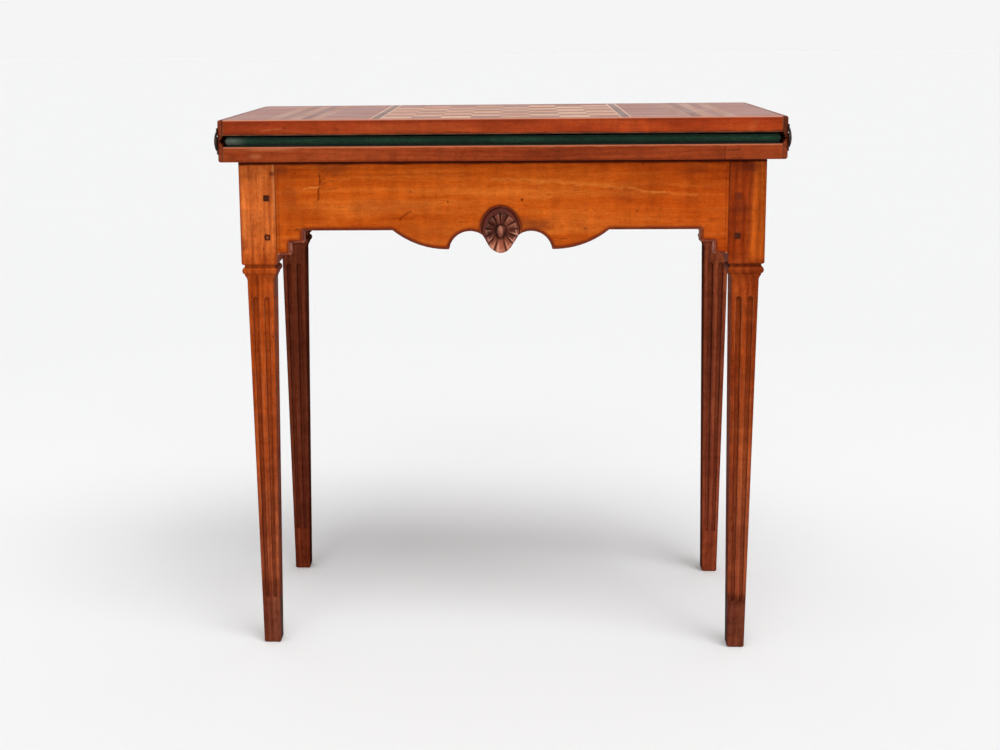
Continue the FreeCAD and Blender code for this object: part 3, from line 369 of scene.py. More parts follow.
def apron_front_marks(net, colour, tone):
    """Old knot, cracks, bruises and rubbed lines on the front apron."""
    bend = net.vec("MULTIPLY", net.vec("SUBTRACT", net.noise(net.coord, 48.0, 3.0, 0.6, colour=True), (0.5, 0.5, 0.5)), (0.012, 0.0, 0.012))
    p = net.vec("ADD", net.vec("MULTIPLY", net.coord, (1.0, 0.0, 1.0)), bend)
    wob = net.math("MULTIPLY", net.math("SUBTRACT", net.noise(net.coord, 130.0, 3.0, 0.65), 0.5), 0.0042)
    blur = net.math("SUBTRACT", net.noise(net.coord, 60.0, 3.0, 0.65), 0.5)
    broken = net.remap(net.noise(net.coord, 85.0, 2.0), 0.30, 0.55, 0.25, 1.0)
    x, y, z = net.split(net.coord)
    # ends a little browner than the golden middle, most on the right
    colour = net.mix(net.remap(x, -0.20, -0.32, 0.0, 0.25), colour, (0.74, 0.62, 0.70), "MULTIPLY")
    colour = net.mix(net.remap(x, 0.06, 0.30, 0.0, 0.75), colour, (0.84, 0.66, 0.62), "MULTIPLY")
    low = net.remap(net.math("ADD", z, net.math("MULTIPLY", blur, 0.03)), 0.630, 0.584, 0.0, 0.35)
    colour = net.mix(low, colour, (0.66, 0.50, 0.40), "MULTIPLY")
    # bruised patches
    for c, s, amount in (((-0.230, 0, 0.698), (0.020, 1, 0.008), 0.50), ((-0.304, 0, 0.699), (0.008, 1, 0.006), 0.60), ((0.046, 0, 0.620), (0.026, 1, 0.009), 0.62),
                         ((0.17, 0, 0.664), (0.03, 1, 0.010), 0.22), ((-0.16, 0, 0.646), (0.05, 1, 0.008), 0.22), ((0.262, 0, 0.695), (0.018, 1, 0.006), 0.26), ((-0.295, 0, 0.664), (0.012, 1, 0.02), 0.28)):
        m = net.spot(p, c, s, 0.6, net.math("MULTIPLY", blur, 1.6))
        colour = net.mix(net.math("MULTIPLY", m, amount), colour, lin(112, 46, 22))
    # painted shadow of the carving on the apron, round its upper half
    flat = net.vec("MULTIPLY", net.coord, (1.0, 0.0, 1.0))
    ring = net.vec("LENGTH", net.vec("DIVIDE", net.vec("SUBTRACT", flat, (0.0, 0.0, 0.6135)), (0.0270, 1.0, 0.0320)))
    colour = net.mix(net.math("MULTIPLY", net.remap(ring, 1.02, 1.085, 0.75, 0.0), net.remap(z, 0.598, 0.612)), colour, lin(84, 22, 8))
    # knot with its cross of cracks
    for a, b, h, amount in (((-0.2507, 0, 0.691), (-0.2520, 0, 0.655), 0.0015, 0.62), ((-0.2507, 0, 0.676), (-0.231, 0, 0.683), 0.0015, 0.40), ((-0.2507, 0, 0.671), (-0.226, 0, 0.670), 0.0014, 0.34),
                            ((-0.139, 0, 0.628), (-0.124, 0, 0.637), 0.0018, 0.58), ((0.283, 0, 0.624), (0.305, 0, 0.628), 0.0014, 0.30), ((-0.246, 0, 0.684), (-0.239, 0, 0.694), 0.0014, 0.34)):
        colour = net.mix(net.math("MULTIPLY", net.line(p, a, b, h, wob), amount), colour, lin(92, 32, 8))
    for a, b, h, amount in (((-0.273, 0, 0.6705), (-0.252, 0, 0.6725), 0.0016, 0.55), ((-0.010, 0, 0.683), (0.056, 0, 0.680), 0.0030, 0.20), ((0.056, 0, 0.680), (0.168, 0, 0.670), 0.0030, 0.20),
                            ((0.168, 0, 0.670), (0.224, 0, 0.6625), 0.0026, 0.28), ((0.224, 0, 0.6625), (0.270, 0, 0.6595), 0.0026, 0.14), ((-0.24, 0, 0.684), (-0.05, 0, 0.690), 0.0018, 0.12)):
        colour = net.mix(net.math("MULTIPLY", net.math("MULTIPLY", net.line(p, a, b, h, wob), broken), amount), colour, lin(226, 142, 62))
    # worm holes and ink dots
    for x0, z0, r in ((0.030, 0.654, 0.0018), (-0.074, 0.6535, 0.0015), (-0.124, 0.6645, 0.0010), (0.188, 0.639, 0.0013), (-0.283, 0.692, 0.0010), (-0.02, 0.634, 0.0008)):
        m = net.spot(p, (x0, 0, z0), (r, 1, r), 0.45, net.math("MULTIPLY", blur, 0.8))
        colour = net.mix(net.math("MULTIPLY", m, 0.80), colour, lin(62, 20, 8))
    return joints_dark(net, painted_shadow_under_leaf(net, painted_edge_shade(net, colour, (0.0, 1.0, 0.0))), 0.3125)


def leg_tone(low, top_z, low_z):
    """The shaft takes a second, browner tone towards the floor."""
    def base(net, colour, tone):
        _, _, z = net.split(net.coord)
        drift = net.math("MULTIPLY", net.math("SUBTRACT", net.noise(net.placed(net.coord, (30.0, 30.0, 9.0)), 1.0, 3.0), 0.5), 0.12)
        brown = net.ramp(tone, [(0.08, low[0]), (0.48, low[1]), (0.92, low[2])])
        return net.mix(net.remap(net.math("ADD", z, drift), top_z, low_z), colour, brown)
    return base


def flute_wear_and_highlight(net, colour, amount, pale):
    """The arrises of the flutes are painted pale here and there, rubbed wear with a painted highlight; the outer
    corners of the leg aren't.
    """
    x, y, z = net.split(net.coord)
    dx = net.math("ABSOLUTE", net.math("SUBTRACT", net.math("ABSOLUTE", x), 0.3375))
    dy = net.math("ABSOLUTE", net.math("SUBTRACT", net.math("ABSOLUTE", net.math("SUBTRACT", y, 0.0036)), 0.1565))
    half = net.remap(z, 0.0, 0.55, 0.0125, 0.0215, smooth=False)
    inner = net.remap(net.math("DIVIDE", net.math("MINIMUM", dx, dy), half), 0.76, 0.66)
    broken = net.remap(net.noise(net.placed(net.coord, (120.0, 120.0, 26.0)), 1.0, 4.0, 0.65), 0.46, 0.58)
    m = net.math("MULTIPLY", net.math("MULTIPLY", net.remap(net.ridge(0.0034), 0.10, 0.34), inner), net.math("MULTIPLY", broken, net.remap(z, 0.53, 0.51)))
    return net.mix(net.math("MULTIPLY", m, amount), colour, pale)


def leg_marks(front, side):
    def marks(net, colour, tone):
        x, y, z = net.split(net.coord)
        drift = net.math("MULTIPLY", net.math("SUBTRACT", net.noise(net.placed(net.coord, (30.0, 30.0, 9.0)), 1.0, 3.0), 0.5), 0.12)
        zz = net.math("ADD", z, drift)
        end = net.math("ADD", z, net.math("MULTIPLY", drift, 0.14))
        # painted shade on the faces turned to the inside
        nx, ny, _ = net.split(net.facing)
        inward = net.math("MULTIPLY", nx, net.math("MULTIPLY", net.math("SIGN", x), -1.0))
        shaft = net.remap(z, 0.60, 0.55, 0.35, 1.0)
        colour = net.mix(net.math("MULTIPLY", net.remap(inward, 0.55, 0.92, 0.0, 0.80 if front else 0.88), shaft), colour, (0.34, 0.34, 0.55) if front else (0.18, 0.19, 0.26), "MULTIPLY")
        if not front:
            # the plain foot is a little redder than the shaft above it
            out = net.remap(net.math("MAXIMUM", ny, net.math("MULTIPLY", inward, -1.0)), 0.55, 0.90)
            colour = net.mix(net.math("MULTIPLY", net.math("SUBTRACT", 1.0, out), net.remap(end, 0.080, 0.064, 0.0, 0.80)), colour, (1.32, 1.16, 0.86), "MULTIPLY")
            # painted light: the right rear leg is lifted out of its painted shade more than the left
            right = net.math("MULTIPLY", net.remap(x, -0.1, 0.1), net.math("SUBTRACT", 1.0, out))
            colour = net.mix(right, colour, (1.75, 1.82, 1.72), "MULTIPLY")
            colour = net.mix(net.math("MULTIPLY", right, net.remap(end, 0.080, 0.064, 0.0, 0.9)), colour, (0.66, 0.68, 0.80), "MULTIPLY")
            # faces turned outward and to the back get back the lit colour of the front legs
            colour = net.mix(net.math("MULTIPLY", out, net.remap(z, 0.07, 0.30, 0.20, 0.90)), colour, (2.20, 1.80, 0.95), "MULTIPLY")
            colour = flute_wear_and_highlight(net, colour, 0.35, lin(134, 70, 48))
            return painted_shadow_under_leaf(net, colour)
        # old polish gathered where the flutes run out, and a browner foot
        colour = net.mix(net.math("MULTIPLY", net.remap(net.math("ABSOLUTE", net.math("SUBTRACT", net.math("ADD", end, net.math("MULTIPLY", drift, 0.12)), 0.074 if side > 0 else 0.086)), 0.002, 0.014 if side > 0 else 0.026, 1.0, 0.0), 0.60 if side > 0 else 0.50), colour, lin(54, 19, 12))
        colour = net.mix(net.remap(end, 0.084, 0.060, 0.0, 0.90), colour, (0.49, 0.58, 0.86), "MULTIPLY")
        colour = flute_wear_and_highlight(net, colour, 0.75, lin(176, 98, 62))
        colour = net.mix(net.remap(zz, 0.012, -0.020, 0.0, 0.4), colour, (0.45, 0.45, 0.5), "MULTIPLY")
        p = net.vec("MULTIPLY", net.coord, (1.0, 0.0, 1.0))
        blur = net.math("SUBTRACT", net.noise(net.coord, 60.0, 3.0, 0.65), 0.5)
        if side > 0:
            # half of this block is a darker, stained stripe
            edge = net.math("ADD", x, net.math("ADD", net.math("MULTIPLY", net.math("SUBTRACT", z, 0.63), -0.05), net.math("MULTIPLY", drift, 0.03)))
            m = net.math("MULTIPLY", net.remap(edge, 0.341, 0.334, 0.0, 1.0), net.remap(z, 0.561, 0.58, 0.0, 1.0))
            colour = net.mix(net.math("MULTIPLY", m, 0.50), colour, (0.88, 0.58, 0.35), "MULTIPLY")
            m = net.math("MULTIPLY", net.remap(edge, 0.340, 0.349, 0.0, 1.0), net.remap(z, 0.561, 0.58, 0.0, 1.0))
            colour = net.mix(net.math("MULTIPLY", m, 0.80), colour, (2.5, 3.2, 1.7), "MULTIPLY")
            for c, s, amount in (((0.328, 0, 0.640), (0.010, 1, 0.012), 0.40), ((0.340, 0, 0.698), (0.016, 1, 0.006), 0.5), ((0.325, 0, 0.617), (0.008, 1, 0.008), 0.30)):
                colour = net.mix(net.math("MULTIPLY", net.spot(p, c, s, 0.6, net.math("MULTIPLY", blur, 2.2)), amount), colour, lin(84, 32, 20))
        else:
            colour = net.mix(net.remap(zz, 0.555, 0.605, 0.0, 0.90), colour, (1.63, 2.35, 3.3), "MULTIPLY")
            m = net.math("MULTIPLY", net.remap(x, -0.3180, -0.3140, 0.0, 1.0), net.remap(z, 0.61, 0.66, 0.0, 1.0))
            colour = net.mix(net.math("MULTIPLY", m, 0.38), colour, lin(222, 140, 84))
            m = net.math("MULTIPLY", net.remap(net.math("ADD", x, net.math("MULTIPLY", drift, 0.02)), -0.3575, -0.3615), net.remap(z, 0.561, 0.58))
            colour = net.mix(net.math("MULTIPLY", m, 0.45), colour, lin(124, 44, 26))
            for c, s, amount in (((-0.316, 0, 0.692), (0.004, 1, 0.004), 0.7), ((-0.360, 0, 0.594), (0.006, 1, 0.010), 0.4), ((-0.345, 0, 0.690), (0.012, 1, 0.008), 0.25)):
                colour = net.mix(net.math("MULTIPLY", net.spot(p, c, s, 0.5, net.math("MULTIPLY", blur, 2.0)), amount), colour, lin(92, 34, 18))
        return painted_shadow_under_leaf(net, colour)
    return marks


def faded(net, colour):
    """Uneven fading of a polished top: broad, soft patches of a greyer and of a redder brown."""
    broad = net.noise(net.placed(net.coord, (7.0, 22.0, 1.0)), 1.0, 4.0, 0.6)
    fine = net.noise(net.placed(net.coord, (26.0, 70.0, 1.0), (3.0, 1.0, 0.0)), 1.0, 3.0, 0.6)
    colour = net.mix(net.remap(broad, 0.54, 0.74, 0.0, 0.60), colour, (0.80, 0.86, 0.92), "MULTIPLY")
    colour = net.mix(net.remap(broad, 0.46, 0.28, 0.0, 0.55), colour, (1.04, 0.80, 0.72), "MULTIPLY")
    return net.mix(net.remap(fine, 0.56, 0.74, 0.0, 0.35), colour, (0.78, 0.74, 0.74), "MULTIPLY")


def leaf_marks(upper):
    def marks(net, colour, tone):
        x, y, z = net.split(net.coord)
        blur = net.math("SUBTRACT", net.noise(net.coord, 46.0, 3.0, 0.65), 0.5)
        wob = net.math("MULTIPLY", net.math("SUBTRACT", net.noise(net.coord, 130.0, 3.0, 0.65), 0.5), 0.0042)
        flat = net.vec("MULTIPLY", net.coord, (1.0, 0.0, 1.0))
        front = net.remap(y, -0.186, -0.1915, 0.0, 1.0)
        _, _, nz = net.split(net.facing)
        if upper:
            # the top is browner than the edges
            bleached = net.ramp(tone, [(0.08, lin(126, 68, 54)), (0.48, lin(150, 86, 69)), (0.92, lin(170, 110, 91))])
            bleached = faded(net, bleached)
            colour = net.mix(net.remap(nz, 0.75, 0.95, 0.0, 0.90), colour, bleached)
            colour = net.mix(net.math("MULTIPLY", net.remap(x, -0.10, 0.30, 0.0, 0.70), front), colour, (1.30, 1.18, 0.80), "MULTIPLY")
            # dark line on the front just under the arris
            colour = net.mix(net.math("MULTIPLY", net.remap(net.math("ADD", z, net.math("MULTIPLY", blur, 0.004)), 0.7598, 0.7640, 0.0, 0.62), front), colour, (0.66, 0.52, 0.42), "MULTIPLY")
            # pale front arris: rubbed wear and a painted highlight
            strip = net.math("ADD", y, net.math("MULTIPLY", blur, 0.006))
            colour = net.mix(net.math("MULTIPLY", net.remap(strip, -0.1885, -0.1922, 0.0, 0.80), net.remap(z, 0.7650, 0.7662)), colour, lin(206, 142, 118))
            for a, b, h, amount in (((-0.326, 0, 0.7520), (-0.300, 0, 0.7550), 0.0018, 0.16), ((0.3380, 0, 0.7510), (0.3440, 0, 0.7590), 0.0060, 0.10)):
                m = net.math("MULTIPLY", net.line(flat, a, b, h, wob), front)
                colour = net.mix(net.math("MULTIPLY", m, amount), colour, lin(206, 128, 66))
            # greyer, darker lower arris: painted shadow over the gap, with small losses
            colour = net.mix(net.math("MULTIPLY", net.remap(net.math("ADD", z, net.math("MULTIPLY", blur, 0.004)), 0.7490, 0.7468, 0.0, 0.85), front), colour, lin(64, 24, 14))
            return joints_dark(net, colour, 0.3800, 0.0014, 0.1)
        # a later repair at the right-hand end, in a lighter piece
        m = net.math("MULTIPLY", net.remap(x, 0.3030, 0.3040, 0.0, 1.0), front)
        colour = net.mix(net.math("MULTIPLY", m, 0.35), colour, lin(156, 64, 26))
        d = net.math("ABSOLUTE", net.math("SUBTRACT", x, 0.3035))
        colour = net.mix(net.math("MULTIPLY", net.remap(d, 0.0004, 0.0012, 0.55, 0.0), front), colour, lin(66, 22, 10))
        for a, b, h, amount in (((0.3065, 0, 0.7215), (0.323, 0, 0.7225), 0.0015, 0.55), ((0.311, 0, 0.711), (0.327, 0, 0.7112), 0.0014, 0.45), ((-0.383, 0, 0.714), (-0.363, 0, 0.7145), 0.0013, 0.3)):
            mm = net.math("MULTIPLY", net.line(flat, a, b, h, wob), front)
            colour = net.mix(net.math("MULTIPLY", mm, amount), colour, lin(72, 24, 10))
        for c, s, amount in (((-0.336, 0, 0.717), (0.009, 1, 0.003), 0.26), ((-0.31, 0, 0.727), (0.03, 1, 0.0025), 0.35)):
            colour = net.mix(net.math("MULTIPLY", net.math("MULTIPLY", net.spot(flat, c, s, 0.6, net.math("MULTIPLY", blur, 1.6)), front), amount), colour, lin(200, 120, 80))
        # pale upper arris under the cloth: rubbed wear and a painted highlight
        colour = net.mix(net.math("MULTIPLY", net.remap(net.math("ADD", z, net.math("MULTIPLY", blur, 0.003)), 0.7272, 0.7290, 0.0, 0.65), front), colour, lin(196, 116, 84))
        return joints_dark(net, colour, 0.3800, 0.0010, 0.55)
    return marks


board_lo, board_hi = (Vector(v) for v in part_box("board_squares_light"))
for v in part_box("board_squares_dark"):
    board_lo = Vector((min(board_lo.x, v.x), min(board_lo.y, v.y), 0.0))
    board_hi = Vector((max(board_hi.x, v.x), max(board_hi.y, v.y), 0.0))
SQUARE = ((board_hi.x - board_lo.x) / 8.0, (board_hi.y - board_lo.y) / 8.0)


def piece_number(net, squares):
    """A number 0-1 of its own for every inlaid piece."""
    if squares:
        cell = net.vec("FLOOR", net.vec("MULTIPLY", net.vec("SUBTRACT", net.coord, tuple(board_lo)), (1.0 / SQUARE[0], 1.0 / SQUARE[1], 0.0)))
    else:
        x, _, _ = net.split(net.coord)
        far = net.math("ABSOLUTE", x)
        row = net.math("FLOOR", net.math("MULTIPLY", net.math("SUBTRACT", far, 0.2439), 1.0 / 0.030))
        row = net.math("MULTIPLY", net.math("ADD", row, net.math("MULTIPLY", net.math("SIGN", x), 7.0)), net.remap(far, 0.200, 0.201))
        join = net.node("ShaderNodeCombineXYZ")
        net.feed(join.inputs[0], row)
        cell = join.outputs[0]
    n = net.node("ShaderNodeTexWhiteNoise", noise_dimensions="3D")
    net.feed(n.inputs["Vector"], cell)
    return n.outputs["Value"]


def piece_coord(spread, squares=True):
    """Board coordinates that jump from piece to piece, so neighbouring inlays differ in figure."""
    def make(net):
        own = piece_number(net, squares)
        hop = net.node("ShaderNodeCombineXYZ")
        for i, k in enumerate((13.0, 29.0, 7.0)):
            net.feed(hop.inputs[i], net.math("MULTIPLY", own, k * spread))
        return net.vec("ADD", net.coord, hop.outputs[0])
    return make


def piece_tone(dark, light, amount, squares=True):
    def marks(net, colour, tone):
        r = net.math("FRACT", net.math("MULTIPLY", piece_number(net, squares), 17.31))
        colour = net.mix(net.remap(r, 0.0, 0.5, amount, 0.0, smooth=False), colour, dark, "MULTIPLY")
        colour = net.mix(net.remap(r, 0.5, 1.0, 0.0, amount, smooth=False), colour, light)
        return faded(net, colour)
    return marks


# apron edges: a painted shade line just inside the edge and a pale band of painted bounce light on the chamfer
APRON_EDGE_SHADE_AND_BOUNCE = dict(edge=lin(180, 104, 76), edge_amount=0.80, edge_width=0.0056, edge_noise=(0.30, 0.48), line=lin(96, 32, 18), rough=(0.46, 0.64), spec=0.05)


def free_edge(axis, lo, hi):
    """1 away from the joints at both ends and from the top of an apron."""
    def make(net):
        c = net.split(net.coord)
        ends = net.math("MULTIPLY", net.remap(c[axis], lo, lo + 0.001), net.remap(c[axis], hi, hi - 0.001))
        return net.math("MULTIPLY", ends, net.remap(c[2], 0.700, 0.699))
    return make


apron_front = wood("fruitwood_apron_front", "X", **ORANGE, shift=(0.2, 0.0, 0.0), pith=(-0.10, 0.636), ring=0.0062, extra=apron_front_marks, bump=0.40, mottle=0.10, keep=free_edge(0, -0.309, 0.309), **APRON_EDGE_SHADE_AND_BOUNCE)
apron_rear = wood("fruitwood_apron", "X", **ORANGE, shift=(1.7, 0.0, 0.0), pith=(0.10, 0.654), ring=0.0062, stain_amount=0.5, keep=free_edge(0, -0.309, 0.309), **APRON_EDGE_SHADE_AND_BOUNCE,
                  extra=lambda n, c, t: joints_dark(n, painted_shadow_under_leaf(n, painted_edge_shade(n, c, (0.0, 1.0, 0.0))), 0.3125))
apron_side = wood("fruitwood_apron_side", "Y", **ORANGE, shift=(0.6, 0.0, 0.0), ring=0.0062, stain_amount=0.5, keep=free_edge(1, -0.1245, 0.1315), **APRON_EDGE_SHADE_AND_BOUNCE, extra=lambda n, c, t: painted_shadow_under_leaf(n, painted_edge_shade(n, c, (1.0, 0.0, 0.0))))
FLUTES = dict(dirt_and_shade=lin(66, 21, 11), dirt_and_shade_width=0.007, dirt_and_shade_range=(0.58, 0.97), rough=(0.50, 0.70), mottle=0.14, contrast=1.25)


def rising_dirt_and_shade(top, low):
    """The flutes are blacker towards the floor."""
    return lambda net: net.remap(net.split(net.coord)[2], 0.50, 0.20, top, low)



leg_fl = wood("fruitwood_leg_fl", "Z", **LEG, **FLUTES, dirt_and_shade_amount=rising_dirt_and_shade(0.62, 0.95), spec=0.02, shift=(0.3, 0.0, 0.0), edge=lin(84, 38, 28), edge_amount=0.50, edge_width=0.0028, edge_noise=(0.20, 0.45), base=leg_tone((lin(80, 33, 19), lin(127, 56, 31), lin(168, 87, 52)), 0.46, 0.10), extra=leg_marks(True, -1))
leg_fr = wood("fruitwood_leg_fr", "Z", **LEG_RIGHT, **FLUTES, dirt_and_shade_amount=0.95, spec=0.02, shift=(2.3, 0.0, 0.0), edge=lin(78, 34, 26), edge_amount=0.50, edge_width=0.0028, edge_noise=(0.20, 0.45), base=leg_tone((lin(76, 31, 18), lin(121, 52, 29), lin(162, 83, 50)), 0.50, 0.12), extra=leg_marks(True, 1))
# the rear legs take a darker copy of the leg colours: painted shade on their faces towards the front
REAR_LOW = (lin(70, 30, 20), lin(102, 44, 28), lin(128, 62, 40))
leg_rear = wood("fruitwood_leg_rear", "Z", dark=lin(70, 30, 20), mid=lin(100, 45, 28), light=lin(130, 64, 40), **FLUTES, dirt_and_shade_amount=0.92, spec=0.0, shift=(4.1, 0.0, 0.0), edge=lin(46, 22, 18), edge_amount=0.45, edge_width=0.0028, edge_noise=(0.20, 0.45), base=leg_tone(REAR_LOW, 0.3, 0.1), extra=leg_marks(False, 0))
leaf_upper = wood("fruitwood_upper_leaf", "X", **LEAF_UP, shift=(0.9, 0.0, 0.0), pith=(0.03, 0.714), edge=lin(200, 112, 66), edge_amount=0.50, extra=leaf_marks(True), rough=(0.34, 0.42), spec=0.22, bump=0.15, wave=0.02, mottle=0.10)
leaf_lower = wood("fruitwood_lower_leaf", "X", **LEAF_LOW, shift=(3.3, 0.0, 0.0), edge=lin(196, 108, 66), edge_amount=0.35, extra=leaf_marks(False), wave=0.02, mottle=0.12)


def rim_marks(net, colour, tone):
    """Bleached on top, brown at the front end grain, with a dark glue line to the board."""
    x, y, z = net.split(net.coord)
    _, _, nz = net.split(net.facing)
    colour = net.mix(net.remap(nz, 0.75, 0.95, 0.0, 0.75), colour, net.ramp(tone, [(0.08, lin(120, 66, 52)), (0.48, lin(146, 84, 66)), (0.92, lin(166, 106, 86))]))
    worn = net.remap(y, -0.186, -0.1925)
    high = net.remap(z, 0.735, 0.745)
    colour = net.mix(net.math("MULTIPLY", worn, 0.8), colour, (0.86, 0.78, 0.86), "MULTIPLY")
    colour = net.mix(net.math("MULTIPLY", worn, net.math("MULTIPLY", high, net.remap(x, -0.1, 0.1, 0.15, 0.90))), colour, (0.30, 0.28, 0.34), "MULTIPLY")
    return net.mix(net.remap(z, 0.735, 0.745, 0.45, 1.0), colour, joints_dark(net, colour, 0.3800, 0.0018, 0.05))


rim_side = wood("rim_side", "Y", dark=lin(92, 34, 17), mid=lin(136, 58, 31), light=lin(168, 90, 58), shift=(1.1, 0, 0), edge=lin(116, 58, 40), edge_amount=0.4, edge_width=0.003, mottle=0.12, extra=rim_marks)
rim_rear = wood("rim_rear", "X", dark=lin(92, 36, 17), mid=lin(138, 58, 28), light=lin(166, 86, 50), shift=(1.9, 0, 0), edge=lin(196, 122, 80), edge_amount=0.5)
dress(apron_front, "apron_front")
dress(apron_rear, "apron_rear")
dress(apron_side, "apron_left", "apron_right")
dress(leg_fl, "leg_front_left")
dress(leg_fr, "leg_front_right")
dress(leg_rear, "leg_rear_left", "leg_rear_right")
dress(leaf_upper, "upper_leaf_board")
dress(leaf_lower, "lower_leaf_board")
dress(rim_side, "upper_rim_left", "upper_rim_right", "lower_rim_left", "lower_rim_right")
dress(rim_rear, "upper_rim_rear", "lower_rim_rear")

inner = wood("inner_pine", "Y", dark=lin(68, 44, 27), mid=lin(102, 70, 44), light=lin(134, 98, 66), rough=(0.60, 0.80), ring=0.005, stain_amount=0.5, spec=0.05, edge=lin(158, 122, 86), edge_amount=0.3)
inner_x = wood("inner_pine_x", "X", dark=lin(68, 44, 27), mid=lin(102, 70, 44), light=lin(134, 98, 66), rough=(0.60, 0.80), ring=0.005, stain_amount=0.5, spec=0.05, edge=lin(158, 122, 86), edge_amount=0.3)
dress(inner, "pivot_rail", "bearer_rail", "well_cleats")
dress(inner_x, "well_bottom_board", "stop_peg")


def peg_marks(net, colour, tone):
    """The upper right peg has taken the colour of the block; the lower left one is round at its head."""
    x, y, z = net.split(net.coord)
    fore = net.remap(y, 0.05, -0.05)
    m = net.math("MULTIPLY", fore, net.math("MULTIPLY", net.remap(x, 0.1, 0.2), net.remap(z, 0.62, 0.64)))
    colour = net.mix(net.math("MULTIPLY", m, 0.72), colour, lin(122, 46, 20))
    flat = net.vec("MULTIPLY", net.coord, (1.0, 0.0, 1.0))
    r = net.vec("LENGTH", net.vec("SUBTRACT", flat, (-0.325, 0.0, 0.603)))
    r = net.math("ADD", r, net.math("MULTIPLY", net.math("SUBTRACT", net.noise(net.coord, 220.0, 2.0), 0.5), 0.0012))
    colour = net.mix(net.math("MULTIPLY", fore, net.remap(r, 0.0030, 0.0014, 0.0, 0.75)), colour, lin(150, 72, 40))
    here = net.math("MULTIPLY", fore, net.remap(r, 0.0080, 0.0070))
    return net.mix(net.math("MULTIPLY", net.remap(r, 0.0041, 0.0049), net.math("MULTIPLY", here, 0.8)), colour, lin(176, 80, 26))


peg = wood("peg_end_grain", "Y", dark=lin(44, 20, 13), mid=lin(68, 32, 20), light=lin(96, 50, 32), dirt_and_shade_amount=0.4, dirt_and_shade_width=0.002, rough=(0.45, 0.65), spec=0.05, extra=peg_marks)
dress(peg, "tenon_pegs_front", "tenon_pegs_rear")
peg_side = wood("peg_end_grain_side", "X", dark=lin(44, 20, 13), mid=lin(68, 32, 20), light=lin(96, 50, 32), dirt_and_shade_amount=0.4, dirt_and_shade_width=0.002, rough=(0.45, 0.65))
dress(peg_side, "tenon_pegs_left", "tenon_pegs_right")

# inlay: each piece has its own figure and tone
GLOSS = dict(rough=(0.34, 0.42), spec=0.22, dirt_and_shade_amount=0.0, bump=0.12)
light_sq = wood("inlay_light", "X", dark=lin(176, 114, 82), mid=lin(203, 142, 106), light=lin(222, 168, 129), coord=piece_coord(0.31), extra=piece_tone((0.78, 0.68, 0.58), lin(230, 182, 134), 0.50),
                edge=lin(104, 58, 38), edge_amount=0.55, edge_width=0.0009, stain_amount=0.22, **GLOSS)
dark_sq = wood("inlay_dark", "X", dark=lin(122, 68, 50), mid=lin(156, 93, 68), light=lin(180, 114, 88), coord=piece_coord(0.37), extra=piece_tone((0.72, 0.62, 0.58), lin(184, 112, 82), 0.42),
               edge=lin(80, 38, 25), edge_amount=0.50, edge_width=0.0009, stain_amount=0.28, **GLOSS)
light_st = wood("inlay_light_strip", "Y", dark=lin(134, 78, 57), mid=lin(159, 98, 73), light=lin(180, 124, 95), coord=piece_coord(0.23, False), extra=piece_tone((0.84, 0.78, 0.70), lin(188, 136, 104), 0.35, False),
                edge=lin(108, 62, 44), edge_amount=0.4, edge_width=0.0008, **GLOSS)
dark_st = wood("inlay_dark_strip", "Y", dark=lin(98, 46, 33), mid=lin(130, 66, 48), light=lin(152, 86, 66), coord=piece_coord(0.19, False), extra=piece_tone((0.76, 0.68, 0.64), lin(160, 96, 76), 0.35, False),
               edge=lin(66, 32, 22), edge_amount=0.4, edge_width=0.0008, **GLOSS)
band = wood("inlay_band", "Y", dark=lin(92, 46, 35), mid=lin(120, 66, 51), light=lin(142, 86, 68), stain_amount=0.25, **GLOSS)
string = wood("inlay_string", "Y", dark=lin(206, 150, 116), mid=lin(228, 180, 146), light=lin(238, 204, 172), stain_amount=0.2, **GLOSS)
dress(light_sq, "board_squares_light")
dress(dark_sq, "board_squares_dark")
dress(light_st, "side_stripes_light")
dress(dark_st, "side_stripes_dark")
dress(string, "board_strings_light")
dress(band, "board_bands_dark")


# ------------------------------------------------------------------ iron
def iron(name):
    net = Net(name)
    n1 = net.noise(net.coord, 120.0, 4.0, 0.65)
    n2 = net.noise(net.placed(net.coord, (1, 1, 1), (0.3, 0.7, 0.1)), 420.0, 3.0, 0.6)
    colour = net.ramp(n1, [(0.28, (0.014, 0.008, 0.006)), (0.50, (0.036, 0.019, 0.014)), (0.70, (0.085, 0.042, 0.029))])
    rust = net.remap(net.math("MULTIPLY", net.noise(net.coord, 75.0, 4.0, 0.7), net.remap(net.hollow(0.004), 0.3, 1.0, 1.5, 0.8)), 0.56, 0.78, 0.0, 0.6)
    colour = net.mix(rust, colour, (0.105, 0.034, 0.014))
    colour = net.mix(net.math("MULTIPLY", net.remap(net.ridge(0.0012), 0.15, 0.6), 0.45), colour, (0.10, 0.08, 0.07))
    net.shader(Base_Color=colour, Roughness=net.total((net.remap(n2, 0.3, 0.7, 0.40, 0.62), 1.0), (rust, 0.3)), Metallic=net.remap(rust, 0.0, 0.6, 0.85, 0.1))
    net.bump(net.total((n1, 0.8), (n2, 0.5)), 0.5, 0.0006)
    return net.mat


iron_mat = iron("old_iron")
dress(iron_mat, "hinge_lower_left", "hinge_lower_right", "hinge_upper_left", "hinge_upper_right", "hinge_pin_left", "hinge_pin_right", "hinge_lower_screws", "hinge_upper_screws",
      "pivot_pin", "pivot_screws", "pivot_nut", "bearing_washer", "pivot_washer")


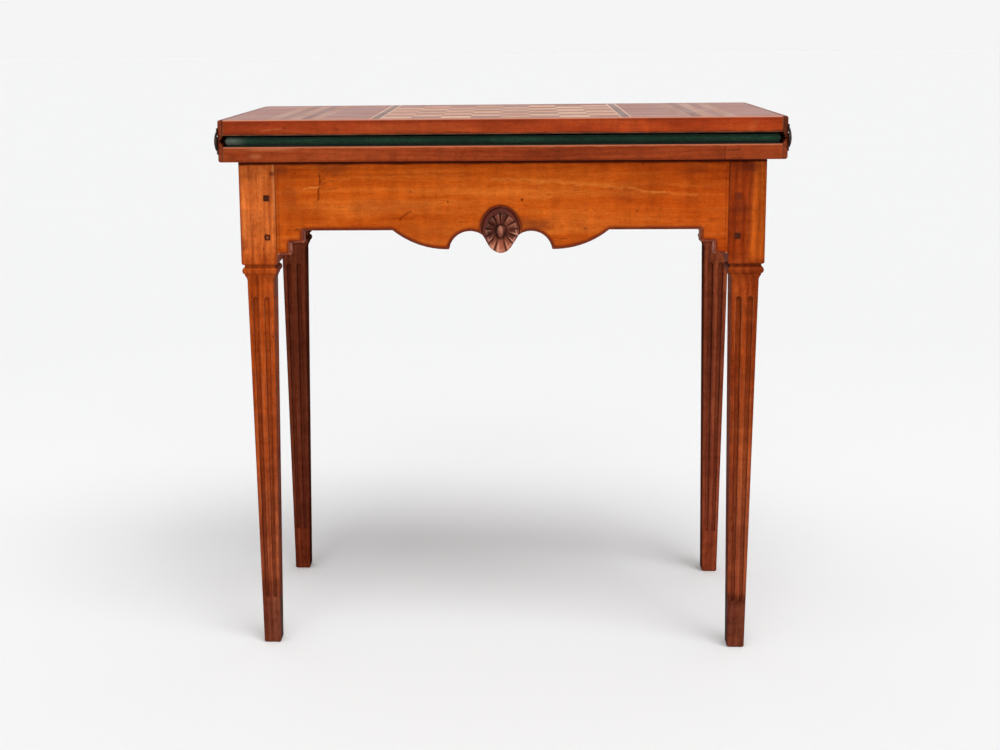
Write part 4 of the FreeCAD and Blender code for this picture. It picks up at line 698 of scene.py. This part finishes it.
# ------------------------------------------------------------------ baize
def baize(name, worn, roll=False):
    net = Net(name)
    weave = net.noise(net.coord, 1500.0, 2.0, 0.7)
    nap = net.noise(net.placed(net.coord, (260.0, 420.0, 420.0)), 1.0, 3.0, 0.65)
    cloud = net.noise(net.coord, 14.0, 4.0, 0.6)
    tone = net.total((weave, 0.35), (nap, 0.40), (cloud, 0.35))
    if roll:
        colour = net.ramp(tone, [(0.36, lin(9, 22, 15)), (0.55, lin(21, 47, 32)), (0.72, lin(46, 78, 57))])
    else:
        colour = net.ramp(tone, [(0.36, lin(15, 31, 23)), (0.56, lin(29, 51, 38)), (0.74, lin(50, 74, 56))])
    x, y, _ = net.split(net.coord)
    if roll:
        # the left end is rubbed grey
        colour = net.mix(net.math("MULTIPLY", net.remap(x, -0.345, -0.366), net.remap(nap, 0.25, 0.6, 0.5, 1.0)), colour, lin(84, 92, 80))
    else:
        fade = net.math("MULTIPLY", net.remap(net.noise(net.coord, 5.0, 4.0, 0.6), 0.40, 0.72), worn)
        colour = net.mix(fade, colour, lin(66, 86, 60))
        colour = net.mix(net.remap(net.noise(net.placed(net.coord, (1, 1, 1), (4, 2, 1)), 9.0, 3.0, 0.6), 0.58, 0.74, 0.0, 0.20), colour, lin(22, 38, 29))
        # lint and rubbed threads
        thread = net.noise(net.placed(net.coord, (60.0, 900.0, 1.0)), 1.0, 2.0, 0.6)
        colour = net.mix(net.remap(thread, 0.62, 0.76, 0.0, 0.25), colour, lin(88, 106, 82))
        # painted shadow blackens the edge along the fold, where the cloth runs into the gap between the leaves
        colour = net.mix(net.remap(net.math("ADD", y, net.math("MULTIPLY", cloud, 0.006)), -0.178, -0.187, 0.0, 0.95), colour, lin(15, 14, 10))
    net.shader(Base_Color=colour, Roughness=net.remap(nap, 0.3, 0.7, 0.85, 1.0), Specular_IOR_Level=0.1, Sheen_Weight=0.18, Sheen_Roughness=0.5, Sheen_Tint=(0.50, 0.60, 0.50, 1.0))
    net.bump(net.total((weave, 0.6), (nap, 1.0)), 0.6, 0.0008)
    return net.mat


baize_field = baize("green_baize_field", 0.28)
baize_roll_mat = baize("green_baize_roll", 0.0, roll=True)


def new_piece(name, bm, material, body, smooth=True):
    me = bpy.data.meshes.new(name)
    bm.normal_update()
    bm.to_mesh(me)
    bm.free()
    me.materials.append(material)
    for p in me.polygons:
        p.use_smooth = smooth
    o = bpy.data.objects.new(name, me)
    scene.collection.objects.link(o)
    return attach(o, body)


def baize_sheet(name, node, body, up):
    """A glued cloth: softly uneven face, rolled-over edges, on the side `up` away from the board."""
    lo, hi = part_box(node)
    nx, ny = 150, 76
    edge = 0.0022
    bm = bmesh.new()
    back = lo.z if up > 0 else hi.z
    face = hi.z if up > 0 else lo.z
    thick = hi.z - lo.z
    rows = []
    for layer in (0, 1):
        grid = []
        for j in range(ny + 1):
            row = []
            for i in range(nx + 1):
                x = lo.x + (hi.x - lo.x) * i / nx
                y = lo.y + (hi.y - lo.y) * j / ny
                if layer == 0:
                    z = back
                else:
                    d = min(x - lo.x, hi.x - x, hi.y - y)
                    k = min(1.0, d / edge)
                    fall = 1.0 - math.sqrt(max(0.0, 1.0 - (1.0 - k) ** 2)) if k < 1 else 0.0
                    # pulled thin along the fold
                    fall = max(fall, 1.25 * (1.0 - min(1.0, (y - lo.y) / 0.012)) ** 1.5)
                    ripple = 0.00022 * (perlin.noise((x * 9.0, y * 13.0, 3.0)) - 1.0) + 0.00008 * (perlin.noise((x * 60.0, y * 60.0, 1.0)) - 1.0)
                    z = face + up * (ripple - 0.6 * thick * fall)
                row.append(bm.verts.new((x, y, z)))
            grid.append(row)
        rows.append(grid)
    for layer, grid in enumerate(rows):
        flip = (layer == 0) == (up > 0)
        for j in range(ny):
            for i in range(nx):
                q = [grid[j][i], grid[j][i + 1], grid[j + 1][i + 1], grid[j + 1][i]]
                bm.faces.new(q[::-1] if flip else q)
    ring = [(0, i) for i in range(nx)] + [(j, nx) for j in range(ny)] + [(ny, i) for i in range(nx, 0, -1)] + [(j, 0) for j in range(ny, 0, -1)]
    for (j, i), (j2, i2) in zip(ring, ring[1:] + ring[:1]):
        q = [rows[0][j][i], rows[0][j2][i2], rows[1][j2][i2], rows[1][j][i]]
        bm.faces.new(q if up > 0 else q[::-1])
    o = new_piece(name, bm, baize_field, body)
    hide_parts(node)
    return o, (hi.x - lo.x, hi.y - lo.y)


low_cloth, low_flat = baize_sheet("lower_baize_cloth", "lower_baize", "swivel_top", 1)
up_cloth, up_flat = baize_sheet("upper_baize_cloth", "upper_baize", "upper_leaf", -1)


def fold_roll():
    """The loose fold of cloth between the leaves: a soft round roll, fuller in places."""
    lo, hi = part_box("baize_fold_roll")
    nx, na = 260, 40
    cy, cz = (lo.y + hi.y) / 2, (lo.z + hi.z) / 2
    ry, rz = (hi.y - lo.y) / 2, (hi.z - lo.z) / 2
    bm = bmesh.new()
    rings = []
    for i in range(nx + 1):
        u = i / nx
        x = lo.x + (hi.x - lo.x) * u
        d = min(x - lo.x, hi.x - x)
        cap = math.sqrt(max(0.0, 1.0 - (1.0 - min(1.0, d / 0.0035)) ** 2))
        cap = 0.30 + 0.70 * cap
        full = 0.925 + 0.045 * perlin.noise((x * 7.0, 0.0, 2.0))
        row = []
        for k in range(na):
            a = 2 * math.pi * k / na
            c, s = math.cos(a), math.sin(a)
            pull = 1.0 + 0.03 * perlin.noise((x * 34.0, c * 1.5, s * 1.5)) + 0.015 * perlin.noise((x * 120.0, c * 3.0, s * 3.0))
            # a shallow lengthwise crease where the two layers of cloth meet, low on the front
            pull -= 0.035 * math.exp(-((a - math.pi * 1.10) / 0.16) ** 2)
            y = cy + ry * cap * (full + 0.03) * min(1.0, pull * 0.985) * c
            z = cz - rz * (1.0 - full) * 0.8 + rz * cap * full * min(1.0, pull * 0.985) * s
            row.append(bm.verts.new((x, y, z)))
        rings.append(row)
    for r1, r2 in zip(rings, rings[1:]):
        for k in range(na):
            bm.faces.new((r1[k], r1[(k + 1) % na], r2[(k + 1) % na], r2[k]))
    bm.faces.new(rings[0][::-1])
    bm.faces.new(rings[-1])
    bmesh.ops.recalc_face_normals(bm, faces=bm.faces)
    o = new_piece("baize_roll", bm, baize_roll_mat, "swivel_top")
    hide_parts("baize_fold_roll")
    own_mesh(o)
    return o


fold_roll()


# ------------------------------------------------------------------ carved rosette
def rosette():
    """Dished oval patera: a crescent rim over the top, thirteen petals sloping in to a long bead."""
    net = Net("carved_rosette_wood")

    def mark(name):
        n = net.node("ShaderNodeAttribute", attribute_name=name)
        return n.outputs["Fac"]

    (bands, streaks, fibres, rings), q = wood_figure(net, "Z", (0.4, 0.0, 0.0), ring=0.004)
    tone = net.total((bands, 0.35), (streaks, 0.40), (fibres, 0.25))
    rag = net.noise(net.coord, 190.0, 3.0, 0.65)
    colour = net.ramp(tone, [(0.15, lin(56, 22, 15)), (0.5, lin(92, 41, 28)), (0.9, lin(130, 68, 48))])
    # painted light on the lower petals, which face up towards the light
    _, _, z = net.split(net.coord)
    low = net.math("MULTIPLY", net.remap(net.math("ADD", z, net.math("MULTIPLY", rag, 0.010)), 0.612, 0.592), net.remap(rag, 0.25, 0.6, 0.55, 1.0))
    colour = net.mix(net.math("MULTIPLY", low, 0.60), colour, lin(180, 98, 68))
    own = mark("petal")
    colour = net.mix(net.remap(own, 0.5, 0.0, 0.0, 0.6), colour, (0.50, 0.45, 0.45), "MULTIPLY")
    colour = net.mix(net.remap(own, 0.5, 1.0, 0.0, 0.26), colour, lin(176, 100, 76))
    purple = net.ramp(tone, [(0.15, lin(60, 23, 19)), (0.5, lin(88, 38, 30)), (0.9, lin(118, 58, 46))])
    colour = net.mix(net.math("MULTIPLY", mark("rim"), 0.9), colour, purple)
    # the bead is painted lighter towards its top, where the light falls
    colour = net.mix(mark("bead"), colour, net.ramp(net.total((tone, 0.6), (net.remap(z, 0.600, 0.618), 0.5)), [(0.2, lin(96, 50, 39)), (0.5, lin(136, 78, 62)), (0.9, lin(186, 124, 104))]))
    # painted shade in the hollows of the carving
    shade = net.remap(net.hollow(0.006, 8), 0.35, 0.90, 1.0, 0.0)
    colour = net.mix(net.math("MULTIPLY", shade, 0.75), colour, lin(34, 10, 8))
    # painted highlight on the crests of the carving
    ridge_paint = net.math("MULTIPLY", net.remap(net.ridge(0.0014, 8), 0.10, 0.45), net.remap(rag, 0.40, 0.58))
    colour = net.mix(net.math("MULTIPLY", ridge_paint, 0.70), colour, lin(204, 138, 112))
    # painted highlight strokes on the petal blades
    colour = net.mix(net.math("MULTIPLY", mark("stroke"), net.remap(rag, 0.34, 0.56, 0.15, 0.85)), colour, lin(214, 150, 124))
    # painted shade in the grooves between the petals, and a painted shadow line along the upper outer edge
    colour = net.mix(net.math("MULTIPLY", mark("gap"), 0.92), colour, lin(38, 11, 8))
    colour = net.mix(net.math("MULTIPLY", mark("outline"), 0.92), colour, lin(66, 12, 7))
    net.shader(Base_Color=colour, Roughness=net.remap(streaks, 0.2, 0.8, 0.36, 0.56), Specular_IOR_Level=0.16, Specular_Tint=(1.0, 0.70, 0.58, 1.0))
    net.bump(net.total((fibres, 0.5), (net.noise(net.coord, 300.0, 3.0), 0.6)), 0.45, 0.0006)

    lo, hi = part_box("carved_rosette")
    cx, cz = (lo.x + hi.x) / 2, (lo.z + hi.z) / 2
    back = hi.y
    face = lo.y + 0.002            # front of the rim; the bead stands 2 mm further out
    petals = 13
    rng = np.random.default_rng(11)
    petal_lean = [(float(rng.uniform(-0.9, 0.9)), float(rng.uniform(-0.3, 0.3)), float(rng.uniform(0.0, 1.0))) for _ in range(petals)]
    nt, nr = petals * 20, 54
    # outline, half width by height, mm: an oval drawn in below the middle
    tall = np.array([-31.5, -30.6, -28.0, -24.0, -20.0, -13.2, -10.0, -7.5, 0.0, 8.8, 17.0, 23.4, 28.0, 30.6, 31.5])
    wide = np.array([0.0, 5.6, 10.4, 14.4, 17.2, 21.2, 23.4, 25.0, 26.4, 25.4, 22.4, 18.2, 12.3, 6.4, 0.0])
    wide, tall = wide * 0.965, tall * 0.985
    turn = np.arctan2(wide, tall)[::-1]
    reach = np.hypot(wide, tall)[::-1]
    fine = np.linspace(0.0, math.pi, 361)
    curve = np.interp(fine, turn, reach)
    both_ways = np.concatenate([curve[1:][::-1], curve, curve[:-1][::-1]])
    smooth = np.convolve(both_ways, np.ones(25) / 25, "same")[360:721]

    def outline(phi):
        return float(np.interp(abs(phi), fine, smooth))

    def rim_width(phi):
        w = 7.2 * max(0.0, math.cos(0.69 * abs(phi + 0.30))) ** 1.1 if abs(phi + 0.30) < 2.2 else 0.0
        return w * (1.0 - 0.35 * math.exp(-((phi - 1.2) / 0.6) ** 2))

    def carve(rho, phi):
        """(distance behind the rim front in mm, marks) at the relative radius rho and the turn phi from the top."""
        edge = outline(phi)
        wr = rim_width(phi)
        e = edge * (1.0 - rho)
        k = wr / 7.6
        if e < wr:
            t = e / wr
            d = 1.4 * max(0.0, 1.0 - t / 0.5) ** 2 + 0.45 * max(0.0, (t - 0.82) / 0.18) ** 2
            # the outline mark is a painted shadow line along the outer edge where the rim is wide
            line = max(0.0, 1.0 - e / 2.3) ** 0.8 * min(1.0, k * 3.0)
            return d, (1.0, 0.0, line, 0.5, 0.0)
        tip = edge * rho / (edge - wr)
        d_edge = 0.9 + 1.6 * k
        bowl = d_edge + (6.2 - d_edge) * (1.0 - tip ** 2.0)
        u = (phi / (2 * math.pi) * petals + 0.06 * math.sin(3 * phi + 0.7) + 0.05 * math.sin(5 * phi)) % 1.0
        lean = petal_lean[int(phi / (2 * math.pi) * petals + 0.06 * math.sin(3 * phi + 0.7) + 0.05 * math.sin(5 * phi) + petals) % petals]
        across = abs(2.0 * u - 1.0)
        slant = lean[0] * (2.0 * u - 1.0)
        along = max(0.0, min(1.0, (tip - 0.32) / 0.30))
        crest = (1.7 * (1.0 - across ** 2) + slant * (1.0 - across ** 4) + lean[1]) * along * (1.0 - 0.55 * max(0.0, (tip - 0.8) / 0.2) ** 2)
        groove = 1.1 * max(0.0, (across - 0.66) / 0.34) ** 1.3 * (0.35 + 0.65 * tip) * along
        tips = 1.3 * max(0.0, (tip - 0.86) / 0.14) ** 2 * (0.25 + 0.75 * across ** 2) * (0.35 + 0.65 * k)
        d = bowl - crest + groove + tips + (0.6 if tip < 0.34 else 0.0)
        # painted shade in the grooves between the petals, broad on the left, fine on the right
        start = 0.76 - 0.22 * math.exp(-((phi + 1.7) / 0.9) ** 2) + 0.06 * math.exp(-((phi - 1.6) / 0.8) ** 2)
        gap = max(0.0, (across - start) / (1.0 - start)) ** 0.8 * along * (0.55 + 0.45 * tip)
        gap = max(gap, 0.85 * max(0.0, 1.0 - abs(tip - 0.36) / 0.10))
        gap = max(gap, 0.7 * k * max(0.0, (tip - 0.93) / 0.07))
        # each petal blade gets a painted highlight stroke beside one of its gaps and at its end
        side = (2.0 * u - 1.0) * (1.0 if lean[0] > 0 else -1.0)
        stroke = math.exp(-((side - 0.42) / 0.20) ** 2) * max(0.0, min(1.0, (tip - 0.50) / 0.25))
        stroke = max(stroke, 0.8 * max(0.0, 1.0 - abs(tip - 0.90) / 0.08) * (1.0 - across ** 2))
        stroke *= 0.25 + 0.75 * max(0.0, min(1.0, 0.5 - 0.9 * math.cos(phi + 0.45)))
        return min(d, 7.0), (0.0, gap, 0.0, lean[2], stroke)

    bm = bmesh.new()
    layers = [bm.verts.layers.float.new(n) for n in ("rim", "gap", "outline", "petal", "stroke", "bead")]

    def vert(co, marks=(0.0, 0.0, 0.0, 0.5, 0.0), bead=0.0):
        v = bm.verts.new(co)
        for layer, value in zip(layers, (*marks, bead)):
            v[layer] = value
        return v

    rings_v = []
    for j in range(nr + 1):
        rho = 0.10 + (1.0 - 0.10) * (j / nr) ** 0.9
        row = []
        for i in range(nt):
            phi = 2 * math.pi * i / nt
            phi = phi - 2 * math.pi if phi > math.pi else phi
            dd, marks = carve(rho, phi)
            px, pz = rho * math.sin(phi), rho * math.cos(phi)
            dd += 0.30 * perlin.noise((px * 9.0, pz * 9.0, 4.0)) + 0.16 * perlin.noise((px * 24.0, pz * 24.0, 1.0))
            dd = max(dd, 0.0)
            r = 0.001 * outline(phi) * rho * (1.0 + 0.008 * math.sin(7 * phi) * rho ** 4)
            row.append(vert((cx + r * math.sin(phi), face + 0.001 * dd, cz + r * math.cos(phi)), marks))
        rings_v.append(row)
    for r1, r2 in zip(rings_v, rings_v[1:]):
        for i in range(nt):
            k = (i + 1) % nt
            bm.faces.new((r1[i], r2[i], r2[k], r1[k]))
    # rounded outer edge and wall back to the apron
    prev = rings_v[-1]
    for out, step in ((1.006, 0.0008), (1.009, 0.0018), (1.009, None)):
        row = []
        for i in range(nt):
            w = rings_v[-1][i].co
            y = back if step is None else min(w.y + step, back - 0.0004)
            # the outline mark paints a shadow line on the upper side of the outer wall
            up_side = max(0.0, min(1.0, (w.z - cz) / 0.012 + 0.6))
            row.append(vert((cx + (w.x - cx) * out, y, cz + (w.z - cz) * out), (1.0, 0.0, up_side, 0.5, 0.0)))
        for i in range(nt):
            k = (i + 1) % nt
            bm.faces.new((prev[i], row[i], row[k], prev[k]))
        prev = row
    bm.faces.new(prev)
    bm.faces.new(rings_v[0][::-1])
    # long bead, a little below the middle
    na, nb = 36, 14
    cap = []
    for j in range(nb + 1):
        t = j / nb * math.pi / 2
        row = []
        for i in range(na):
            th = 2 * math.pi * i / na
            rr = math.cos(t)
            y = face + 0.0066 - 0.0082 * math.sin(t) ** 0.85
            row.append(vert((cx + 0.0046 * rr * math.sin(th), y, cz - 0.0022 + 0.0088 * rr * math.cos(th)), bead=1.0))
            if j == nb:
                break
        cap.append(row)
    for r1, r2 in zip(cap[:-1], cap[1:]):
        for i in range(na):
            k = (i + 1) % na
            if len(r2) == 1:
                bm.faces.new((r1[i], r2[0], r1[k]))
            else:
                bm.faces.new((r1[i], r2[i], r2[k], r1[k]))
    bm.faces.new(cap[0])
    bmesh.ops.recalc_face_normals(bm, faces=bm.faces)
    o = new_piece("rosette_carving", bm, net.mat, "frame")
    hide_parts("carved_rosette")
    return o


rosette()

soften(0.0009, 3, "leg_front_left", "leg_front_right", "leg_rear_left", "leg_rear_right")
soften(0.0007, 2, "apron_front", "apron_rear", "apron_left", "apron_right")
soften(0.00025, 2, "lower_rim_left", "lower_rim_right", "lower_rim_rear", "upper_rim_left", "upper_rim_right", "upper_rim_rear")

# ------------------------------------------------------------------ floor, light, camera
bm = bmesh.new()
bmesh.ops.create_grid(bm, x_segments=8, y_segments=8, size=60.0)
me = bpy.data.meshes.new("floor")
bm.to_mesh(me)
bm.free()
floor = bpy.data.objects.new("floor", me)
scene.collection.objects.link(floor)
fnet = Net("pale_floor")
pale = fnet.ramp(fnet.noise(fnet.coord, 1.3, 2.0), [(0.2, (0.860, 0.862, 0.864)), (0.8, (0.868, 0.870, 0.872))])
# painted light: the floor is paler near the table and a little darker far off, to even out its lit brightness
pale = fnet.scale(pale, fnet.remap(fnet.vec("LENGTH", fnet.coord), 0.8, 2.6, 1.024, 0.985))
fnet.shader(Base_Color=pale, Roughness=0.95, Specular_IOR_Level=0.0)
me.materials.append(fnet.mat)

world = bpy.data.worlds.new("studio")
scene.world = world
world.use_nodes = True
wt = world.node_tree
wt.nodes.clear()
wout = wt.nodes.new("ShaderNodeOutputWorld")
# a bright back wall near the horizon, a dimmer room in front, an even ceiling
sky = wt.nodes.new("ShaderNodeTexCoord")
parts = wt.nodes.new("ShaderNodeSeparateXYZ")
wt.links.new(sky.outputs["Generated"], parts.inputs[0])


def wmap(value, lo, hi, a, b):
    n = wt.nodes.new("ShaderNodeMapRange")
    n.interpolation_type = "SMOOTHSTEP"
    wt.links.new(value, n.inputs[0])
    for i, x in enumerate((lo, hi, a, b)):
        n.inputs[i + 1].default_value = x
    return n.outputs[0]


def wmath(op, a, b):
    n = wt.nodes.new("ShaderNodeMath")
    n.operation = op
    for i, x in enumerate((a, b)):
        if isinstance(x, bpy.types.NodeSocket):
            wt.links.new(x, n.inputs[i])
        else:
            n.inputs[i].default_value = x
    return n.outputs[0]


wall = wmath("MULTIPLY", wmap(parts.outputs[1], 0.15, 0.85, 0.0, 0.92), wmap(parts.outputs[2], 0.06, 0.45, 1.0, 0.0))
room = wmap(parts.outputs[1], -0.75, 0.05, 0.36, 0.52)
lit = wt.nodes.new("ShaderNodeBackground")
lit.inputs[0].default_value = (1.0, 1.0, 1.0, 1.0)
wt.links.new(wmath("ADD", wall, room), lit.inputs[1])
seen = wt.nodes.new("ShaderNodeBackground")
seen.inputs[0].default_value = (0.911, 0.911, 0.911, 1.0)
seen.inputs[1].default_value = 1.0
path = wt.nodes.new("ShaderNodeLightPath")
both = wt.nodes.new("ShaderNodeMixShader")
wt.links.new(path.outputs["Is Camera Ray"], both.inputs[0])
wt.links.new(lit.outputs[0], both.inputs[1])
wt.links.new(seen.outputs[0], both.inputs[2])
wt.links.new(both.outputs[0], wout.inputs[0])


def sun(name, azimuth, elevation, power, softness):
    """Soft, even light from one side. Azimuth 0 is in front of the table, positive to its right."""
    data = bpy.data.lights.new(name, "SUN")
    data.energy = power
    data.angle = math.radians(softness)
    o = bpy.data.objects.new(name, data)
    scene.collection.objects.link(o)
    az, el = math.radians(azimuth), math.radians(elevation)
    d = Vector((math.sin(az) * math.cos(el), -math.cos(az) * math.cos(el), math.sin(el)))
    o.rotation_mode = "QUATERNION"
    o.rotation_quaternion = d.to_track_quat("Z", "Y")
    o.location = d * 6.0
    return o


sun("key_front", 6, 67, 0.84, 34)
sun("key_right", 48, 56, 0.70, 28)
sun("key_left", -50, 58, 0.13, 30)
sun("front_fill", 4, 18, 1.10, 60)

data = bpy.data.cameras.new("camera")
cam = bpy.data.objects.new("camera", data)
scene.collection.objects.link(cam)
yaw, pitch, roll = (math.radians(x) for x in (3.162, 10.054, -0.628))
fwd = Vector((-math.sin(yaw) * math.cos(pitch), math.cos(yaw) * math.cos(pitch), -math.sin(pitch)))
right = Vector((math.cos(yaw), math.sin(yaw), 0.0))
up = right.cross(fwd)
r2 = right * math.cos(roll) + up * math.sin(roll)
u2 = up * math.cos(roll) - right * math.sin(roll)
cam.matrix_world = Matrix.Translation((0.0297, -2.25, 0.8821)) @ Matrix((r2, u2, -fwd)).transposed().to_4x4()
data.sensor_fit = "HORIZONTAL"
data.sensor_width = 36.0
data.lens = 1509.11 * 36.0 / 1000.0
data.shift_x = 0.06
data.shift_y = -0.075
data.clip_end = 200.0
scene.camera = cam

scene.view_settings.view_transform = "Standard"
scene.view_settings.look = "None"
scene.view_settings.exposure = 0.0
scene.view_settings.gamma = 1.0
